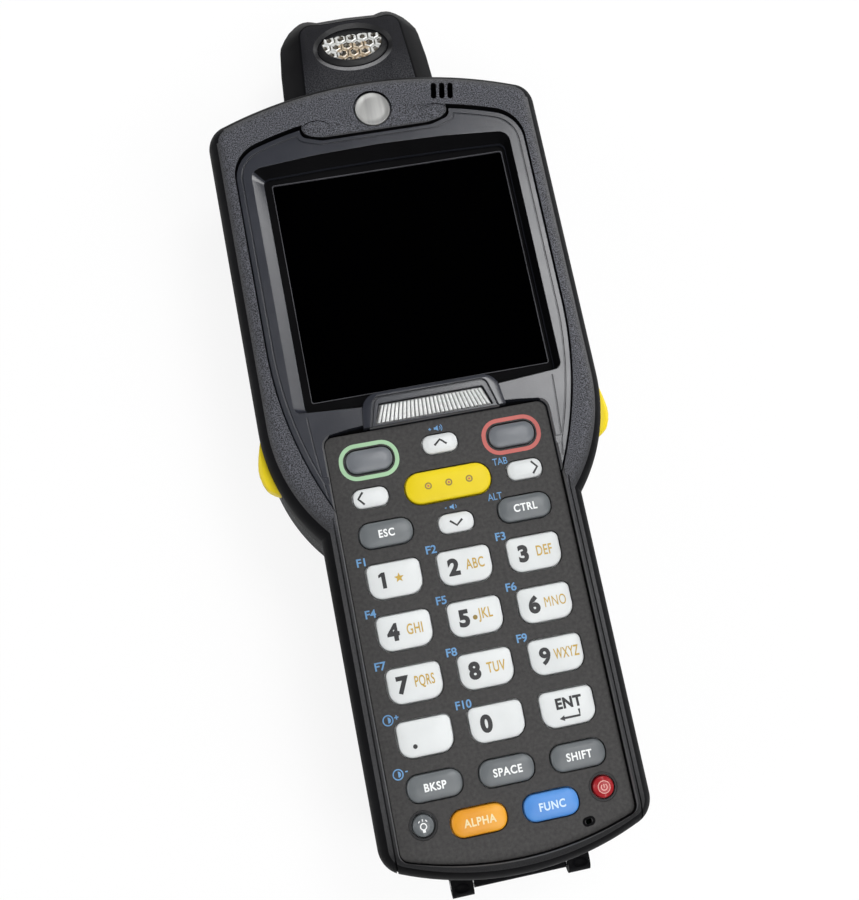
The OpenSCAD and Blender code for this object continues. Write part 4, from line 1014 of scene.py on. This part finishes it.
def head_outline(t, shrink=0.0):
    """The head's outline, blended from the full width (t = 0) to the face (t = 1)."""
    tip = []
    for a, b in zip(TIP_OUT, TIP_IN):
        x, y = a[0] + (b[0] - a[0]) * t, a[1] + (b[1] - a[1]) * t
        tip.append((x * (1 - shrink / HEAD_R), HEAD_MID + (y - HEAD_MID) * (1 - shrink / 20)))
    return both_sides(arc(0, 0, HEAD_R - 4.5 * t - shrink, 270, 360, 20) + tip)


def lens_oval(w, l, drop=0.1):
    return oval(w, l, 72, 0, LENS_Y - drop)


def exit_hole():
    return block(-7.95, 7.95, 37.8, 44, 6.35, 19.8)


def head_cover():
    ob = layered("cover", head_outline, [
        (0.0, 15.05), (0.0, 20.6), (0.04, 21.3), (0.9, 26.55), (0.96, 26.85), (1.03, 27.0)])
    cut(ob,
        layered("inner", head_outline, [
            (0.0, HEAD_WALL, 14), (0.0, HEAD_WALL, 20), (0.95, HEAD_WALL, 25.0)]),
        layered("dish", lens_oval, [
            (17.0, 9.8, 0.1, 26.15), (17.6, 10.3, 0.15, 26.3), (19.6, 12.6, 0.3, 27.0),
            (19.6, 12.6, 0.3, 28)]),
        prism(lens_outline(0.25), 24.5, 28),
        exit_hole())
    fuse(ob, prism(oval(13, 13, 64), 25.2, 30.8))
    cut(ob, rod(4.2, 22, 33))
    looks = [HEAD, HEAD_SIDE, DISH_HIGHLIGHT]
    placed(ob, "head_top_shell", "head", looks, ["head_cover"], 32, PIVOT_Y)
    for face, x, y, z in faces_of(ob):
        # the dish round the lens takes the painted highlight
        dish = abs(z - 26.65) < 0.25 and hypot(x, y - PIVOT_Y - LENS_Y) < 10.2
        face.material_index = 0 if face.normal.z > 0.93 else 2 if dish else 1


def lens_outline(g=0.0):
    """Nearly flat upper edge and deep lower curve, from the left end round to the right."""
    low = [((7.3 + g) * cos(radians(a)), LENS_Y + 1.2 + (4.5 + g) * sin(radians(a)))
           for a in range(180, 361, 9)]
    high = [(7.3 + g, LENS_Y + 2.3), (6.7 + g, LENS_Y + 2.9 + g), (3, LENS_Y + 3.25 + g),
            (0, LENS_Y + 3.3 + g), (-3, LENS_Y + 3.25 + g), (-6.7 - g, LENS_Y + 2.9 + g),
            (-7.3 - g, LENS_Y + 2.3)]
    return low + high


def lens_rim():
    """The black ring between the head and the lens."""
    ob = layered("rim", lens_oval, [(16.9, 9.7, 25.5), (16.9, 9.7, 26.2), (16.4, 9.2, 26.35)])
    cut(ob, prism(lens_outline(0.05), 24, 28))
    placed(ob, "lens_rim", "head", DARK, (), 32, PIVOT_Y)


def head_base():
    def tapered(t, shrink=0.0):
        return head_outline(t * 0.6, shrink)
    ob = layered("base", tapered, [(1.0, 3.0), (0.92, 3.15), (0.12, 6.6), (0.0, 7.4), (0.0, 14.95)])
    cut(ob,
        layered("inner", tapered, [(0.95, HEAD_WALL, 4.8), (0.0, HEAD_WALL, 8.2), (0.0, HEAD_WALL, 16)]),
        exit_hole(),
        *[rod(2.2, 2, 9, x, y, 32) for x in (-13.4, 13.4) for y in (-4, 23)])
    placed(ob, "head_low_shell", "head", HEAD_SIDE, ["head_base"], 32, PIVOT_Y)


head_cover()
lens_rim()
head_base()


def crystals():
    """Faceted six-sided cups filling the lens, over its plate; bright faces carry a painted reflection, the
    cup centres and the plate a painted shade.
    """
    cells, parts = [], []
    spread = 0.03
    across, down = 2.75, 1.95
    corners = [radians(60 * k + 30) for k in range(6)]
    cup_profile = [(1.48, 26.02), (1.45, 26.2), (1.28, 26.5), (0.98, 26.55), (0.72, 26.3), (0.3, 26.12)]
    for row in range(5):
        for col in range(-3, 4):
            cx = (col + (0.5 if row % 2 else 0)) * across
            cy = LENS_Y + 2.5 - down * row
            if abs(cx) > 7.6:
                continue
            rings = [[(cx + r * cos(a) + random.uniform(-spread, spread),
                       cy + 0.85 * r * sin(a) + random.uniform(-spread, spread), z) for a in corners]
                     for r, z in cup_profile]
            cup = common(loft("crystal", rings), prism(lens_outline(-0.05), 25, 28))
            if cup.data.polygons:
                parts.append(cup)
                cells.append((cx, cy))
            else:
                bpy.data.objects.remove(cup)
    ob = joined(prism(lens_outline(0.0), 25.5, 26.0, "plate"), *parts)
    looks = [CRYSTAL, CRYSTAL_SHADE, CRYSTAL_WARM]
    placed(ob, "indicator_crystals", "head", looks, ["indicator_lens"], 0, PIVOT_Y)
    for face, x, y, z in faces_of(ob):
        y -= PIVOT_Y
        near = min(hypot(x - cx, (y - cy) / 0.85) for cx, cy in cells)
        # the cup centres and the plate between the cups get painted shade
        if near < 0.74 or z < 26.05:
            face.material_index = 1
        elif abs(x) < 3.6 and y < LENS_Y + 0.6:
            face.material_index = 2


crystals()


# ---- scan buttons

# how far a button stands out along its length, from its lower end (0) to its upper end (1)
PROUD = [(0, 0.7), (0.05, 1.35), (0.12, 1.95), (0.2, 2.3), (0.34, 2.45), (0.5, 2.15), (0.68, 1.5),
         (0.84, 0.75), (0.95, 0.3), (1, 0.2)]


def side_button(side, name):
    """The part of a scan button that shows: it stands out most towards the handle."""
    def proud(u):
        t = (u + BUTTON_L / 2) / BUTTON_L
        for (t0, p0), (t1, p1) in zip(PROUD, PROUD[1:]):
            if t <= t1:
                return p0 + (p1 - p0) * (t - t0) / (t1 - t0)
        return PROUD[-1][1]
    rings = []
    for share, inset in ((-0.9, 0), (0.35, 0), (0.62, 0.12), (0.84, 0.5), (0.95, 1.0), (1, 1.7)):
        section = rounded_box(BUTTON_L / 2 - inset, BUTTON_H / 2 - inset, 2 - inset)
        section = [(a[0] + (b[0] - a[0]) * k / 6, a[1] + (b[1] - a[1]) * k / 6)
                   for a, b in zip(section, section[1:] + section[:1]) for k in range(6)]
        ring = []
        for u, v in section:
            r = FLARE_R + proud(u) * share
            x = FLARE_X + sqrt(r * r - (BUTTON_Y + u - SHOULDER_Y) ** 2)
            ring.append((side * x, BUTTON_Y + u, BUTTON_Z + side * v))
        rings.append(ring)
    ob = loft(name, rings)
    placed(ob, name + "_cap", name.replace("side_", ""), YELLOW_KEY, [name])


for side, name in ((-1, "side_button_left"), (1, "side_button_right")):
    side_button(side, name)


# ---- the frame's own pieces

OWN = {
    PANEL: ["keypad_panel"], GLASS: ["touch_panel"], RUBBER: ["housing_seal"], GOLD: ["battery_contacts"],
    SMOOTH: ["swivel_plate"], WINDOW: ["exit_window"],
    DARK: ["display_module", "speaker", "battery_pack"],
    BOARD: ["keypad_board", "main_board"],
    GREY_KEY: ["door_latch_left", "door_latch_right"],
    STEEL: ["backup_cell", "port_connector", "door_hinge_pin", "scan_engine", "swivel_clip", "head_screws",
            "housing_screws"],
}
for material, nodes in OWN.items():
    for node in nodes:
        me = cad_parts[node].data
        me.materials.clear()
        me.materials.append(material)


# ---- stage, light and camera

stage = Nodes("floor")
stage.set(Base_Color=(0.93, 0.93, 0.93, 1), Roughness=0.9, Specular_IOR_Level=0.1)
ray = stage.node("LightPath", {}).node.outputs
looked_at = stage.maths("MAXIMUM", ray["Is Camera Ray"], ray["Is Transmission Ray"])
seen = stage.maths("MULTIPLY", looked_at, 0.86)
glow = stage.node("Emission", {"Color": (1, 1, 1, 1), "Strength": 1.0})
upper = stage.node("MixShader", {0: seen, 1: stage.shader.outputs["BSDF"], 2: glow})
# seen from below the floor is clear and lets light through, so that the underside can be looked at
passing = stage.maths("MAXIMUM", stage.node("NewGeometry", {}, "Backfacing"), ray["Is Shadow Ray"])
surface = stage.node("MixShader", {0: passing, 1: upper, 2: stage.node("BsdfTransparent", {})})
stage.feed(stage.tree.nodes["Material Output"].inputs["Surface"], surface)
FLOOR, FLOOR_Z = 3, -0.0001
corners = at([(-FLOOR, -FLOOR), (FLOOR, -FLOOR), (FLOOR, FLOOR), (-FLOOR, FLOOR)], FLOOR_Z)
floor = new_mesh("floor", corners, [(0, 1, 2, 3)])
floor.data.materials.append(stage.mat)

# the sky is white to the camera and dim to the model
scene.world = bpy.data.worlds.new("world")
sky = Nodes("sky", scene.world)
sky.set(Color=(0.97, 0.98, 1.0, 1), Strength=sky.span(sky.node("LightPath", {}, "Is Camera Ray"), 0.16, 1.0))


def area(name, place, target, size, size_y, power):
    """A rectangular lamp at a place, turned to a target."""
    light = bpy.data.lights.new(name, "AREA")
    light.shape = "RECTANGLE"
    light.size, light.size_y, light.energy = size, size_y, power
    ob = linked(name, light)
    ob.location = place
    ob.rotation_euler = (Vector(target) - Vector(place)).to_track_quat("-Z", "Y").to_euler()
    return ob


area("back_box", (0.32, 0.28, 1.0), (0.01, 0.02, 0.03), 0.42, 0.34, 3.8)
area("side_box", (0.9, 0.30, 0.165), (-0.02, 0.02, 0.03), 0.6, 0.3, 4)
area("rim_box", (0.1, 1.0, 0.26), (0, 0.1, 0.03), 0.8, 0.3, 2.4)
area("front_box", (0.25, -0.5, 0.95), (0, 0, 0.02), 0.9, 0.9, 8)
area("left_box", (-0.85, 0.05, 0.4), (0, 0, 0.03), 0.7, 0.4, 3)
area("under_box", (0.1, -0.2, -0.9), (0, 0, 0.02), 0.8, 0.8, 6).visible_camera = False

cam = bpy.data.cameras.new("camera")
camera = linked("camera", cam)
# the photo's focal length in pixels on its longer side, and the place solved from it
FOCAL, PHOTO_LONG, SENSOR = 1150, 900, 36
cam.sensor_width = SENSOR
cam.sensor_fit = "AUTO"
cam.lens = FOCAL * SENSOR / PHOTO_LONG
cam.clip_start = 0.01
camera.matrix_world = Matrix(((0.97841823, 0.17777653, -0.10532457, -0.02879),
                              (-0.19490739, 0.96327419, -0.18469958, -0.05713),
                              (0.06862119, 0.20124197, 0.977135, 0.28245),
                              (0, 0, 0, 1)))
scene.camera = camera
scene.view_settings.view_transform = "Standard"
